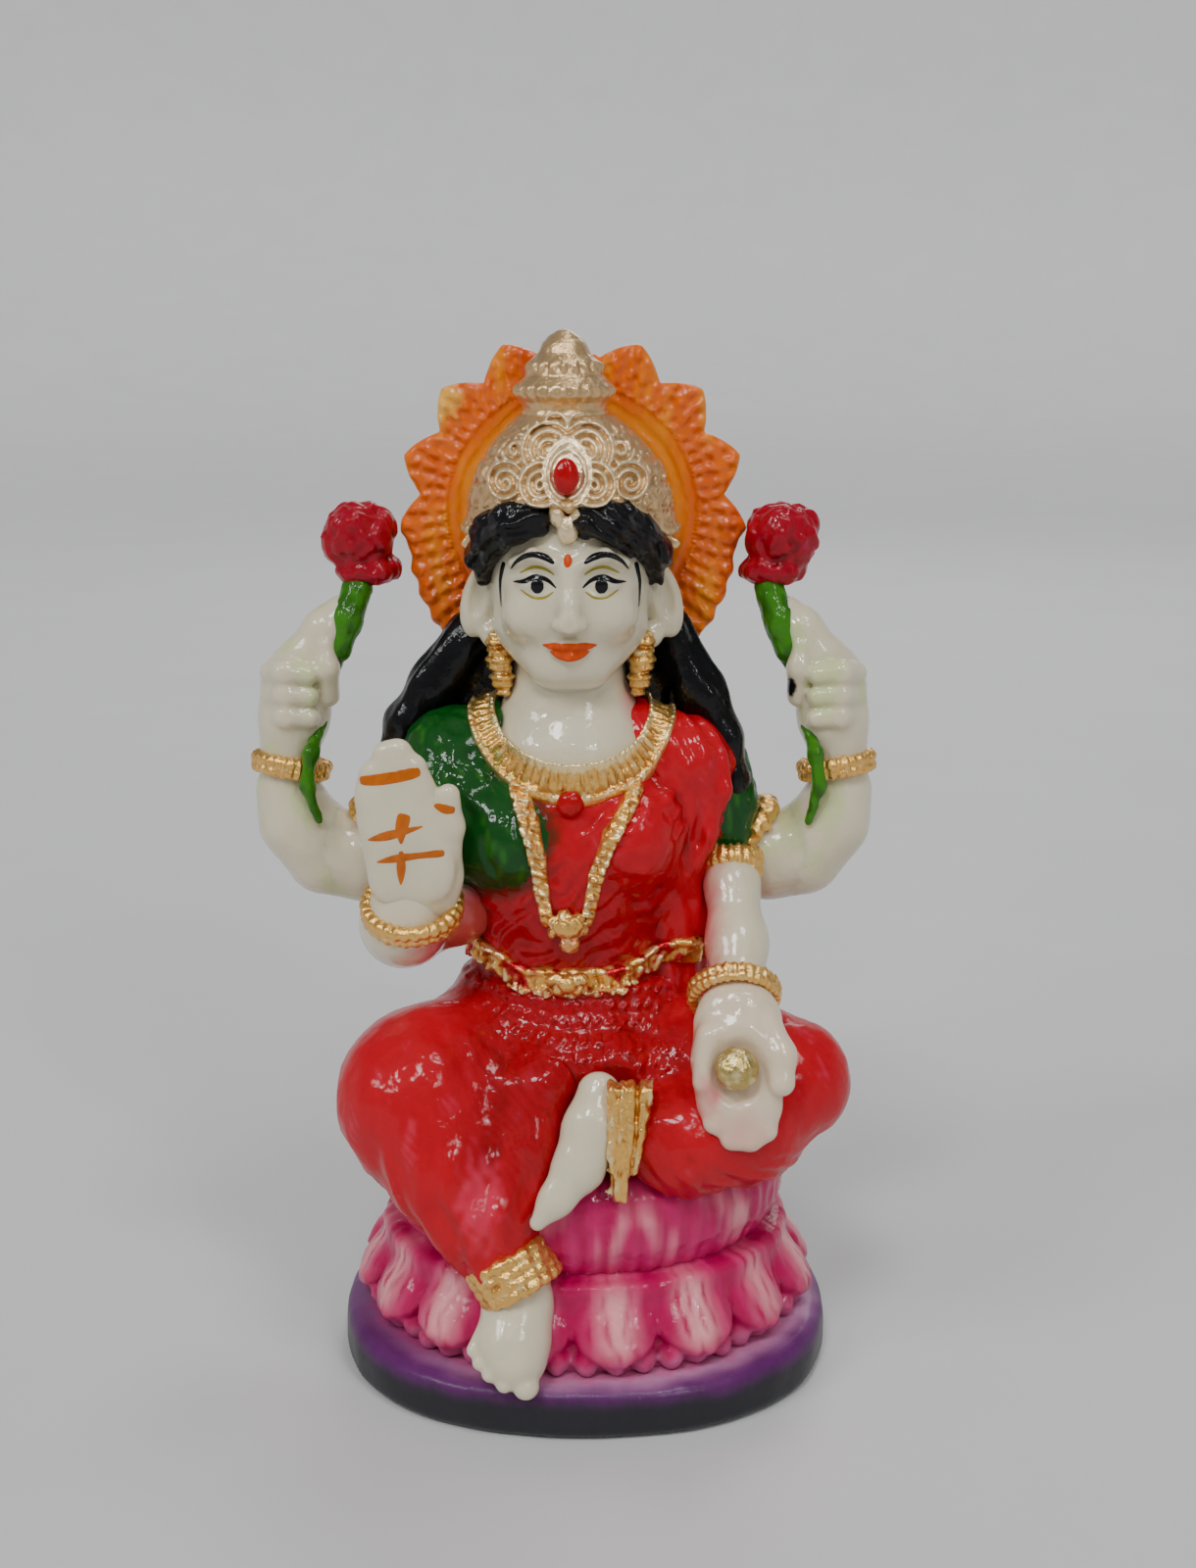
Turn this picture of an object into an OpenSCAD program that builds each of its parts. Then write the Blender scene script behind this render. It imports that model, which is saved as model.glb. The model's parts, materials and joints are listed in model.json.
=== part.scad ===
// Seated four-armed deity statuette: cast, hand-painted, glossy.
// Frame: +Z up, -Y is the front, origin at the centre of the plinth's underside.

/* [Statue] */
// Height from the underside of the plinth to the tip of the crown
statue_h = 130; // [90:5:260]

/* [Plinth and lotus] */
// Width of the oval plinth
plinth_w = 63; // [60:0.5:68]
// Depth of the oval plinth
plinth_d = 54; // [52:0.5:58]
// Height of the plinth
plinth_h = 6.5; // [5:0.5:8]
// Petals draped around the plinth
lower_petals = 15; // [11:1:17]
// Ribs moulded around the lotus seat
seat_ribs = 30; // [24:2:40]

/* [Halo] */
// Radius of the halo's disc, without its rays
halo_r = 17.5; // [16:0.5:18.5]
// How far the rays stand out of the disc
halo_ray = 4.2; // [3:0.2:5]
// Rays around the whole disc
halo_rays = 14; // [12:1:18]
// Thickness of the halo
halo_t = 3; // [2:0.5:4]

/* [Jewellery] */
// Thickness of the wrist bangles
bangle_t = 1.8; // [1.2:0.1:2.2]
// Radius of the painted red gems
gem_r = 1.9; // [1.5:0.1:2.2]

/* [Hidden] */

// The height at which the sizes below are drawn
design_h = 130;
// Sides of the sculpted sections, fine and coarse
fine = 18;
coarse = 12;

red = "firebrick";
green = "darkgreen";
gold = "goldenrod";
skin = "antiquewhite";
black = "#151515";
pink = "palevioletred";
orange = "darkorange";

// Centre of the halo's disc
halo_c = [-1.5, 7.5, 108];

// ---- Sculpting helpers ----

function unit(v) = v / norm(v);

// Direction of the line through the stations at station i
function heading(s, i) = unit(s[min(i + 1, len(s) - 1)][0] - s[max(i - 1, 0)][0]);

// One closed ring of points around a station: [centre, half width, half depth]
function ring(st, t, facing, n) =
    let (u = unit(cross(t, facing)), v = cross(u, t))
    [for (i = [0 : n - 1]) st[0] + st[1] * cos(360 * i / n) * u + st[2] * sin(360 * i / n) * v];

// Rings that round off an end: the station pushed along t, shrinking on a quarter circle
function cap(st, t, side, steps) =
    [for (a = steps) [st[0] + side * min(st[1], st[2]) * sin(a) * t, st[1] * cos(a), st[2] * cos(a)]];

// A limb: oval sections [centre, half width, half depth] joined in a row, with round ends.
// facing is the direction that the sections' depth is measured along.
module limb(s, facing = [0, 1, 0], n = coarse) {
    last = len(s) - 1;
    t0 = heading(s, 0);
    t1 = heading(s, last);
    start = cap(s[0], t0, -1, [52]);
    end = cap(s[last], t1, 1, [52]);
    rings = concat(
        [for (st = start) ring(st, t0, facing, n)],
        [for (i = [0 : last]) ring(s[i], heading(s, i), facing, n)],
        [for (st = end) ring(st, t1, facing, n)]
    );
    skinned(rings);
}

// A solid of stacked level ovals: [z, centre x, centre y, half width, half depth]
module stack(levels, n = fine) {
    rings = [for (l = levels) [for (i = [0 : n - 1])
        [l[1] + l[3] * cos(-360 * i / n), l[2] + l[4] * sin(-360 * i / n), l[0]]]];
    skinned(rings);
}

// The closed skin over rings of equal length
module skinned(rings) {
    n = len(rings[0]);
    m = len(rings);
    sides = [for (j = [0 : m - 2], i = [0 : n - 1])
        let (a = j * n + i, b = j * n + (i + 1) % n)
        each [[a, b, b + n], [a, b + n, a + n]]];
    polyhedron(
        points = [for (r = rings) each r],
        faces = concat(sides, [[for (i = [n - 1 : -1 : 0]) i]], [[for (i = [0 : n - 1]) (m - 1) * n + i]])
    );
}

// The first child with the others' room cut out of it; resize() by nothing keeps it one mesh
module seated() resize([0, 0, 0]) difference() {
    children(0);
    if ($children > 1) children([1 : $children - 1]);
}

// Scaled sphere
module egg(c, r, turn = [0, 0, 0], n = fine) translate(c) rotate(turn) scale(r) sphere(r = 1, $fn = n);

// A ring of round section, for bangles: radius r across, thickness t, tilted by turn
module bangle(c, r, t, turn, n = 10) translate(c) rotate(turn)
    rotate_extrude($fn = 2 * n) translate([r, 0]) circle(d = t, $fn = 8);

// ---- Plinth and lotus ----

// Rounded oval outline: an ellipse with its corners filled out
function oval(w, d, fill = 2.3, n = 48) = [for (i = [0 : n - 1])
    let (c = cos(360 * i / n), s = sin(360 * i / n))
    [w / 2 * sign(c) * pow(abs(c), 2 / fill), d / 2 * sign(s) * pow(abs(s), 2 / fill)]];

// The plinth's outline shrunk to a share of its size, as a ring at height z
function plinth_ring(share, z) = [for (p = oval(plinth_w, plinth_d)) [p[0] * share, -p[1] * share, z]];

bevel = 1.4;

module plinth_form() {
    linear_extrude(plinth_h - bevel) polygon(oval(plinth_w, plinth_d));
    skinned([
        plinth_ring(1, plinth_h - bevel),
        plinth_ring(0.985, plinth_h - 0.4 * bevel),
        plinth_ring(0.95, plinth_h)
    ]);
}

module plinth() color(black) plinth_form();

// Lower petals lie on a sloping bed that runs from the seat out to the plinth
petal_bed = [[plinth_h, 27.5, 23.5], [10, 26, 22], [14, 23.5, 19.5], [19.5, 22, 18]];

// One petal, from the seat down and out: [distance out, height, half width, half thickness]
petal_line = [[20, 18.6, 3.2, 1.6], [25, 15.6, 5, 1.9], [27.6, 11.6, 5.2, 2], [28.4, 8.8, 3.8, 1.5]];
// The oval that the petals follow, as shares of their distance out
petal_oval = [1.04, 0.86];

module petal(angle) {
    out = [petal_oval[0] * cos(angle), petal_oval[1] * sin(angle), 0];
    limb([for (p = petal_line) [out * p[0] + [0, 0, p[1]], p[2], p[3]]], facing = unit(out), n = 8);
}

module lotus_lower_form() {
    stack([for (b = petal_bed) [b[0], 0, 0, b[1], b[2]]]);
    for (i = [0 : lower_petals - 1]) petal(-90 + 10 + 360 * i / lower_petals);
}

module lotus_lower_petals() color(pink) seated() {
    lotus_lower_form();
    seat_core();
    right_foot_form();
    right_leg_form();
}

// The ribbed cushion of the flower: [height, half width, half depth]
seat_levels = [[17, 22.5, 18.5], [20, 24.6, 20.4], [25, 26.2, 21.8], [29, 25, 21], [31, 22.5, 19]];
seat_y = -0.5;
rib_depth = 0.35;

// The cushion without its ribs
module seat_core() stack([for (l = seat_levels) [l[0], 0, seat_y, l[1], l[2]]]);

module lotus_seat_form() {
    n = 2 * seat_ribs;
    skinned([for (l = seat_levels) [for (i = [0 : n - 1])
        let (rib = i % 2 == 0 ? rib_depth : 0, a = -360 * i / n)
        [(l[1] + rib) * cos(a), seat_y + (l[2] + rib) * sin(a), l[0]]]]);
}

module lotus_seat() color(pink) seated() {
    lotus_seat_form();
    right_leg_form();
    left_leg_form();
}

// ---- Legs and skirt ----

module lap_form() stack([
    [30.5, -1.5, 0.5, 19.5, 14.5], [35, -1.8, 0, 22, 16], [40, -1.8, -0.5, 20.5, 14.8],
    [46, -1.8, -1, 17, 12.4], [51, -1.8, -1.4, 14, 10.2]
]);

module lap_drape() color(red) seated() {
    lap_form();
    seat_core();
    right_leg_form();
    left_leg_form();
    tucked_foot_form();
}

// The leg that hangs down: hip, knee, shin
module right_leg_form() {
    limb([
        [[-7, -3.5, 41], 8.4, 9], [[-14, -7.4, 40.4], 8.8, 9.4], [[-19.4, -11, 39], 9.2, 9.4],
        [[-20.8, -12.4, 38], 8.4, 8.6]
    ], n = fine);
    limb([
        [[-20.6, -12.4, 37.6], 9.2, 8.8], [[-17, -16.6, 31.5], 9, 7.6],
        [[-13, -19.4, 26], 7, 6], [[-10.2, -20.8, 21.5], 5, 4.8]
    ], n = fine);
}

module right_leg_drape() color(red) seated() {
    right_leg_form();
    tucked_foot_form();
}

// The folded leg: thigh out to the knee, shin back in under the cloth
module left_leg_form() {
    limb([
        [[4, -4, 40.5], 8, 9], [[13, -6.5, 40.2], 8.6, 9.6],
        [[20.5, -8.5, 39.8], 8.9, 9.4], [[24.8, -9.5, 39.2], 8.4, 8.6]
    ], n = fine);
    limb([
        [[25, -10.4, 37.8], 8.2, 7.8], [[19, -14.4, 35.6], 8, 7.6],
        [[12, -17, 35.4], 6.8, 6.4], [[6, -17.4, 36.4], 5.4, 4.6]
    ], n = fine);
}

module left_leg_drape() color(red) seated() {
    left_leg_form();
    right_leg_form();
    tucked_foot_form();
    left_hand_form();
}

module tucked_foot_form() limb([
    [[1.8, -19.5, 42], 2.2, 2], [[-0.4, -22, 37.6], 3, 2.3],
    [[-2.8, -23.8, 32], 2.5, 1.9], [[-4.8, -24.6, 28], 1.6, 1.3]
]);

module tucked_foot() color(skin) tucked_foot_form();

module pleat_form() limb([
    [[5, -21, 42.4], 2.5, 1], [[4.9, -22.6, 38], 2.2, 1], [[4.4, -23, 33.2], 1.6, 1],
    [[4.2, -23, 30.4], 1.5, 1]
]);

module pleat_trim() color(gold) seated() {
    pleat_form();
    left_leg_form();
    tucked_foot_form();
    lap_form();
}

module right_foot_form() {
    limb([
        [[-8.6, -21.4, 18.4], 3.8, 3.6], [[-8.3, -22.4, 14.2], 3.7, 3.4],
        [[-8.4, -24, 10.6], 4.4, 2.9], [[-8.6, -25.6, 8.4], 4.6, 2]
    ]);
    // Toes, big toe inwards
    for (i = [0 : 4]) egg([-4.9 - 1.75 * i, -27.1 + 0.45 * i, 7.7 + 0.12 * i],
        [1.1, 1.7, 1] * (1 - 0.07 * i), n = 10);
}

module right_foot() color(skin) seated() {
    right_foot_form();
    right_leg_form();
    plinth_form();
}

module anklet_form()
    for (i = [0 : 1]) bangle([-9.2 + i * 0.4, -21.4 - i * 0.5, 18.4 - 2 * i], 4.3, 2, [14, -18, 0]);

module anklet() color(gold) seated() {
    anklet_form();
    right_foot_form();
    right_leg_form();
    seat_core();
}

// ---- Trunk and clothes ----

module torso_form() {
    stack([
        [49.6, -1.8, -1.8, 12, 8.8], [53, -1.8, -2, 12.8, 9.3], [56, -1.8, -2.4, 12.4, 9],
        [62, -1.8, -3, 13.4, 9.6], [68, -1.8, -3, 14.6, 10.2], [74, -1.9, -2.4, 15.8, 9.2],
        [79, -2, -1.6, 16.8, 7.8], [83, -2, -1.2, 13.8, 6.6], [86, -1.9, -1, 8.8, 6]
    ]);
    egg([4.8, -8.4, 69.4], [6.6, 6.2, 6.4]);
}

module torso() color(red) seated() {
    torso_form();
    lap_form();
    chest_form();
    bodice_form();
}

// Blouse on the figure's right: bust, shoulder and sleeve
module bodice_form() {
    egg([-8.6, -8, 70.4], [6.9, 6.4, 6.6]);
    limb([
        [[-11, -1.4, 80.4], 5.6, 6.2], [[-16.5, -1.8, 78.2], 6, 6.6],
        [[-19.6, -2.6, 73], 5.6, 6.2], [[-20.6, -3.6, 66.5], 5, 5.6]
    ], n = fine);
}

module bodice() color(green) seated() {
    bodice_form();
    chest_form();
    right_arm_form();
    right_hand_form();
}

// Cloth thrown over the figure's left shoulder
module shoulder_drape_form() limb([
    [[7.5, -2, 81.6], 4.6, 6.4], [[13, -2.4, 78.8], 5.6, 7], [[14.8, -3, 72.5], 4.4, 6.8],
    [[14, -2.4, 65], 3.4, 6.2], [[13, -1.8, 57], 3.2, 6], [[12.6, -1.6, 49], 3.6, 6]
], n = fine);

module shoulder_drape() color(red) seated() {
    shoulder_drape_form();
    torso_form();
    lap_form();
    left_leg_form();
    belt_form();
    chest_form();
    left_arm_form();
}

module left_sleeve_form()
    limb([[[15.6, 1.4, 77], 4.4, 5], [[18, 1, 72.5], 4.3, 4.8], [[18.6, -0.6, 68], 4.1, 4.4]], n = fine);

module left_sleeve() color(green) seated() {
    left_sleeve_form();
    shoulder_drape_form();
    torso_form();
    left_arm_form();
    back_hair_form();
}

// Belt: a band that hangs lower in front
module belt_form() translate([-1.8, -2, 54.6]) rotate([9, 0, 0]) stack([
    [-1.9, 0, 0, 13.2, 9.8], [-0.8, 0, 0, 13.9, 10.5], [0.8, 0, 0, 13.9, 10.5], [1.9, 0, 0, 13.1, 9.8]
]);

module waist_belt() color(gold) seated() {
    belt_form();
    torso_form();
    clasp_form();
}

module clasp_form() egg([-2, -12.6, 53.2], [2.8, 1.2, 2]);

module belt_clasp() color(gold) seated() {
    clasp_form();
    torso_form();
}

module chest_form() {
    stack([
        [74, -1.8, -2.6, 6, 5.4], [78, -1.8, -2.4, 8.8, 8], [82, -1.8, -2, 10.2, 7.8],
        [85, -1.8, -1.4, 8.8, 7], [88, -1.8, -1.2, 6.9, 6.4], [92, -1.7, -1, 6.4, 6.2]
    ]);
    egg([-1.8, -3.6, 79], [7.8, 7, 5.4]);
}

module neck_and_chest() color(skin) chest_form();

// Wide necklace that follows the neckline, lower in front
collar_c = [-1.5, -2, 84.4];
collar_tilt = 44;

module collar_form() translate(collar_c) rotate([collar_tilt, 0, 0]) scale([0.97, 1, 1])
    rotate_extrude($fn = 28) translate([12.1, 0]) scale([0.7, 1.1]) circle(r = 1.6, $fn = 8);

module collar() color(gold) seated() {
    collar_form();
    torso_form();
    bodice_form();
    shoulder_drape_form();
    chest_form();
    collar_gem_form();
    back_hair_form();
    ear_beads();
}

module collar_gem_form() egg([-1.6, -11.4, 75.3], [gem_r, 1.2, gem_r] * 0.9);

module collar_gem() color("red") collar_gem_form();

// Long chain in two strands that meet at the pendant: half the spread, depth and height
chain_line = [[7.4, -11, 76.4], [5.4, -14, 71.6], [4.2, -14, 67], [2.9, -13.2, 64], [1.5, -12.9, 61.6]];

module chain_form()
    for (s = [-1, 1]) limb([for (p = chain_line) [[-2 + s * p[0], p[1], p[2]], 0.9, 0.9]], n = 8);

module long_chain() color(gold) seated() {
    chain_form();
    torso_form();
    bodice_form();
    collar_form();
}

module pendant_form() egg([-2, -12.9, 60], [1.9, 1.1, 2.2], n = 16);

module chain_pendant() color(gold) seated() {
    pendant_form();
    chain_form();
    torso_form();
}

// ---- Head, hair and crown ----

module head_form() {
    stack([
        [88.6, -1.8, -6.2, 2.4, 2], [90, -1.8, -5.4, 4.8, 4.6], [93, -1.7, -3.8, 7.2, 7.4],
        [97, -1.6, -2.4, 9, 9.2],
        [102, -1.6, -1.6, 9.9, 10.2], [107, -1.6, -1, 9.8, 10.2], [111, -1.6, -0.6, 8, 8.4],
        [113, -1.6, -0.5, 4, 4.4]
    ]);
    // Nose
    limb([[[-1.8, -10.6, 101.5], 0.9, 1], [[-1.8, -12, 97.4], 1.3, 1.3]], n = 10);
}

module head() color(skin) seated() {
    head_form();
    chest_form();
}

module ears_form() {
    egg([-12.6, -1.4, 98], [2, 1.7, 4.6], [0, 10, 0], n = 14);
    egg([9.6, -1.4, 98], [2, 1.7, 4.6], [0, -10, 0], n = 14);
}

module ears() color(skin) seated() {
    ears_form();
    head_form();
    back_hair_form();
}

// Drops that hang from the ear lobes: [distance from the head's axis, depth, height, radius]
earring_beads = [[8.9, -3, 93, 1.1], [8.4, -3.6, 90.8, 1.5], [8.1, -3.8, 88.6, 1.1]];

module ear_beads()
    for (s = [-1, 1], b = earring_beads) egg([-1.6 + s * b[0], b[1], b[2]], [1, 1, 1.15] * b[3], n = 10);

module earrings() color(gold) seated() {
    ear_beads();
    ears_form();
    back_hair_form();
}

module front_hair_form() for (s = [-1, 1]) limb([for (p = [
    [3.2, -10.6, 109.2, 1.8, 1.8], [7, -8.6, 107.6, 2.6, 2.2], [9.8, -5.2, 104, 2.5, 2.2],
    [10.6, -2.6, 100.6, 1.6, 1.8]
]) [[-1.6 + s * p[0], p[1], p[2]], p[3], p[4]]]);

module front_hair() color(black) seated() {
    front_hair_form();
    head_form();
    ears_form();
    crown_dome_form();
    back_hair_form();
}

module back_hair_form() stack([
    [58, -1.8, 9.4, 5, 2], [64, -1.8, 8.8, 9, 3], [72, -2, 7.4, 14, 4], [78, -2.6, 5.8, 20, 4],
    [82, -3, 5, 21, 4.2], [86, -2.4, 4, 17, 5.6], [91, -1.8, 2.8, 13.4, 7.6], [97, -1.6, 1.8, 12, 9],
    [103, -1.6, 1.4, 11.6, 10], [107, -1.6, 1, 11, 10]
]);

module back_hair() color(black) seated() {
    back_hair_form();
    head_form();
    chest_form();
    crown_dome_form();
    torso_form();
    bodice_form();
    shoulder_drape_form();
}

module bindi() color("orangered") seated() {
    egg([-1.8, -11.7, 103.8], [0.55, 0.7, 1.3], n = 12);
    head_form();
}

module crown_dome_form() difference() {
    stack([
        [103.6, -1.6, 0.6, 12.3, 11.6], [107.5, -1.6, 0.2, 12.5, 12.3], [111, -1.6, 0, 12, 12],
        [114.5, -1.7, 0, 10.6, 10.8], [117.6, -1.9, 0, 8.4, 8.6], [120, -2.1, 0, 5.8, 6]
    ]);
    // Rim cut away over the forehead
    translate([-20, -22, 100]) cube([40, 18, 8.2]);
}

module crown_dome() color(gold) seated() {
    crown_dome_form();
    head_form();
}

module crown_finial() color(gold) translate([-2.3, 0.4, 0]) rotate_extrude($fn = 48)
    polygon([
        [0, 120], [6.2, 120], [5.2, 121.2], [5.6, 122.4], [5.4, 124.2], [4.4, 125],
        [4.5, 126.2], [3.2, 127], [3, 128.3], [1.9, 129.5], [0, design_h]
    ]);

module crest_form() egg([-1.8, -9.2, 114.8], [8.8, 2.8, 6.4], [-15, 0, 0]);

module crown_crest() color(gold) seated() {
    crest_form();
    crown_dome_form();
    head_form();
    crown_gem_form();
}

module crown_gem_form() egg([-1.9, -12.2, 113.8], [gem_r * 0.8, 1.1, gem_r * 1.1], n = 16);

module crown_gem() color("red") crown_gem_form();

module crown_drop_form() egg([-1.8, -11.5, 108.6], [1.7, 1.2, 2.4], n = 14);

module crown_drop() color(gold) seated() {
    crown_drop_form();
    head_form();
    crown_dome_form();
    crest_form();
}

// Radius of the halo's rim at an angle from the top: blunt rays, none behind the finial
function halo_rim(a) = halo_r + (abs(a) < 180 / halo_rays ? 0 : halo_ray * abs(cos(halo_rays * a / 2)));

module halo() color(orange) seated() {
    translate(halo_c) rotate([90, 0, 0]) linear_extrude(halo_t, center = true)
        polygon([for (a = [-180 : 60 / halo_rays : 179.9]) halo_rim(a) * [sin(a), cos(a)]]);
    crown_dome_form();
    back_hair_form();
    translate([-2.3, 0.4, 119]) cylinder(r = 6.3, h = 12, $fn = 32);
}

// ---- Front arms ----

module right_arm_form() limb([
    [[-21, -4.6, 63.4], 4.6, 4.8], [[-21.8, -7, 59.8], 4.9, 4.9],
    [[-21.2, -10.8, 59.6], 4.6, 4.7], [[-20.6, -13.4, 62.2], 4.2, 4.2]
], facing = [1, 0, 0]);

module right_front_arm() color(skin) seated() {
    right_arm_form();
    right_hand_form();
}

module right_front_bangle() color(gold) seated() {
    bangle([-20.4, -13.6, 63.1], 5.2, bangle_t * 1.2, [24, 0, 0]);
    right_arm_form();
    right_hand_form();
}

// Raised palm with the fingers together, and the thumb beside them
module right_hand_form() {
    limb([
        [[-20.3, -14.6, 63.6], 4, 3], [[-20, -15.6, 67.6], 5.6, 2.7], [[-20.4, -16.2, 72], 5.8, 2.4],
        [[-21.4, -16.6, 77], 5.1, 2.1], [[-22, -16.9, 81.4], 4.4, 1.8], [[-22.1, -17, 83.4], 3.2, 1.5]
    ]);
    limb([[[-15.8, -15.8, 69.4], 2, 1.8], [[-14.9, -16.4, 74.2], 1.7, 1.6],
        [[-15.1, -16.7, 76.8], 1.3, 1.2]], n = 10);
}

module right_front_hand() color(skin) right_hand_form();

module left_arm_form() limb([
    [[18.6, -1.6, 69], 3.7, 3.8], [[18.6, -5.4, 62.6], 3.6, 3.7],
    [[18.4, -10.4, 57.4], 3.4, 3.4], [[18.1, -14, 54.2], 3.2, 3.2]
]);

module left_front_arm() color(skin) seated() {
    left_arm_form();
    left_hand_form();
    torso_form();
    left_leg_form();
}

module left_armlet() color(gold) seated() {
    bangle([18.6, -2.2, 67.2], 4.1, 2.2, [-26, 0, 0]);
    left_arm_form();
    left_sleeve_form();
    shoulder_drape_form();
    torso_form();
}

module left_front_bangle() color(gold) seated() {
    bangle([18, -14.4, 53.6], 4.8, bangle_t * 1.1, [-42, 0, 0]);
    left_arm_form();
    left_hand_form();
    left_leg_form();
}

// Giving hand with its palm outwards and fingers down
module left_hand_form() {
    limb([
        [[18, -15.6, 52.2], 3.5, 2.9], [[17.9, -18.6, 48.2], 5, 2.9], [[17.9, -21.2, 44], 5.1, 2.5],
        [[18.3, -23, 40.4], 4, 2.1], [[18.5, -23.8, 37.8], 2.9, 1.7]
    ]);
    limb([[[22.4, -19.6, 47], 1.9, 1.8], [[23, -21.8, 43.4], 1.6, 1.5]], n = 10);
}

module left_front_hand() color(skin) left_hand_form();

module coins() color(gold) seated() {
    egg([17.7, -23.2, 46.6], [2.5, 1.6, 2.6], [30, 0, 0], n = 16);
    left_hand_form();
}

// ---- Rear arms: side is -1 for the figure's right, 1 for its left ----

rear_mid = -2.6;

function rear(side, p) = [[rear_mid + side * p[0], p[1], p[2]], p[3], p[4]];

module rear_upper_arm_form(side) limb([for (p = [
    [13.5, 4.6, 72.5, 4.2, 4.2], [19.5, 4.6, 67, 4.6, 4.4], [26, 4.2, 64, 4.9, 4.4],
    [30.5, 3.8, 66.4, 4.9, 4.3]
]) rear(side, p)]);

module rear_forearm_form(side) limb([for (p = [
    [30.2, 3.9, 64.6, 4.1, 3.7], [33, 3.4, 70.6, 4.5, 4.1], [34.1, 3.2, 74.2, 4, 3.8]
]) rear(side, p)]);

module rear_hand_form(side) limb([for (p = [
    [34.4, 3, 79.6, 3.5, 3.3], [33.2, 2.6, 82, 4.9, 3.9], [31.8, 2.4, 86.8, 5.2, 4],
    [30, 2.6, 91, 4.3, 3.5], [27.6, 3.6, 95.6, 3, 2.8]
]) rear(side, p)]);

module rear_bangle_form(side)
    bangle([rear_mid + side * 34.3, 3.1, 76.6], 4.1, bangle_t * 1.2, [8, side * 10, 0]);

// The stem runs from the bud through the fist and ends in front of the forearm
module stem_form(side) limb([for (p = [
    [25.2, 4.4, 99, 1.8, 1.6], [27, 2.6, 94, 1.5, 1.4], [29.4, -0.6, 88, 1.1, 1.1],
    [30.6, -1.8, 83, 1.1, 1.1], [31.6, -1.9, 76, 1, 1], [31.4, -1.2, 70.5, 0.8, 0.8]
]) rear(side, p)], n = 10);

module bud_form(side) {
    x = -1.7 + side * 26.1;
    egg([x, 5.2, 105], [5, 4.5, 4.5]);
    egg([x - side * 1.2, 5.2, 100.8], [4.2, 3.6, 2], n = 18);
}

module rear_upper_arm(side) color(skin) seated() {
    rear_upper_arm_form(side);
    bodice_form();
    torso_form();
    left_sleeve_form();
    back_hair_form();
}

module rear_forearm(side) color(skin) seated() {
    rear_forearm_form(side);
    rear_upper_arm_form(side);
    stem_form(side);
}

module rear_bangle(side) color(gold) seated() {
    rear_bangle_form(side);
    rear_forearm_form(side);
    rear_hand_form(side);
    stem_form(side);
}

module rear_hand(side) color(skin) seated() {
    rear_hand_form(side);
    stem_form(side);
}

module lotus_stem(side) color(green) seated() {
    stem_form(side);
    bud_form(side);
}

module lotus_bud(side) color("crimson") seated() {
    bud_form(side);
    translate(halo_c) rotate([90, 0, 0]) cylinder(r = halo_r + halo_ray, h = halo_t + 8, center = true,
        $fn = 48);
}

module right_rear_upper_arm() rear_upper_arm(-1);
module right_rear_forearm() rear_forearm(-1);
module right_rear_bangle() rear_bangle(-1);
module right_rear_hand() rear_hand(-1);
module right_lotus_stem() lotus_stem(-1);
module right_lotus_bud() lotus_bud(-1);
module left_rear_upper_arm() rear_upper_arm(1);
module left_rear_forearm() rear_forearm(1);
module left_rear_bangle() rear_bangle(1);
module left_rear_hand() rear_hand(1);
module left_lotus_stem() lotus_stem(1);
module left_lotus_bud() lotus_bud(1);

module rear_armlets() color(gold) seated() {
    for (side = [-1, 1]) bangle([rear_mid + side * 22.4, 4.5, 65.4], 4.7, 1.8, [0, side * 62, 0]);
    rear_upper_arm_form(-1);
    rear_upper_arm_form(1);
    bodice_form();
    left_sleeve_form();
}

// ---- Assembly ----

module sized() scale(statue_h / design_h) children();

sized() plinth();
sized() lotus_lower_petals();
sized() lotus_seat();
sized() lap_drape();
sized() right_leg_drape();
sized() left_leg_drape();
sized() right_foot();
sized() anklet();
sized() tucked_foot();
sized() pleat_trim();
sized() torso();
sized() bodice();
sized() left_sleeve();
sized() shoulder_drape();
sized() waist_belt();
sized() belt_clasp();
sized() neck_and_chest();
sized() collar();
sized() collar_gem();
sized() long_chain();
sized() chain_pendant();
sized() head();
sized() ears();
sized() earrings();
sized() front_hair();
sized() back_hair();
sized() bindi();
sized() crown_dome();
sized() crown_finial();
sized() crown_crest();
sized() crown_gem();
sized() crown_drop();
sized() halo();
sized() right_front_arm();
sized() right_front_bangle();
sized() right_front_hand();
sized() left_front_arm();
sized() left_armlet();
sized() left_front_bangle();
sized() left_front_hand();
sized() coins();
sized() right_rear_upper_arm();
sized() right_rear_forearm();
sized() right_rear_bangle();
sized() right_rear_hand();
sized() right_lotus_stem();
sized() right_lotus_bud();
sized() left_rear_upper_arm();
sized() left_rear_forearm();
sized() left_rear_bangle();
sized() left_rear_hand();
sized() left_lotus_stem();
sized() left_lotus_bud();
sized() rear_armlets();
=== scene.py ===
import json
import math

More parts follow.
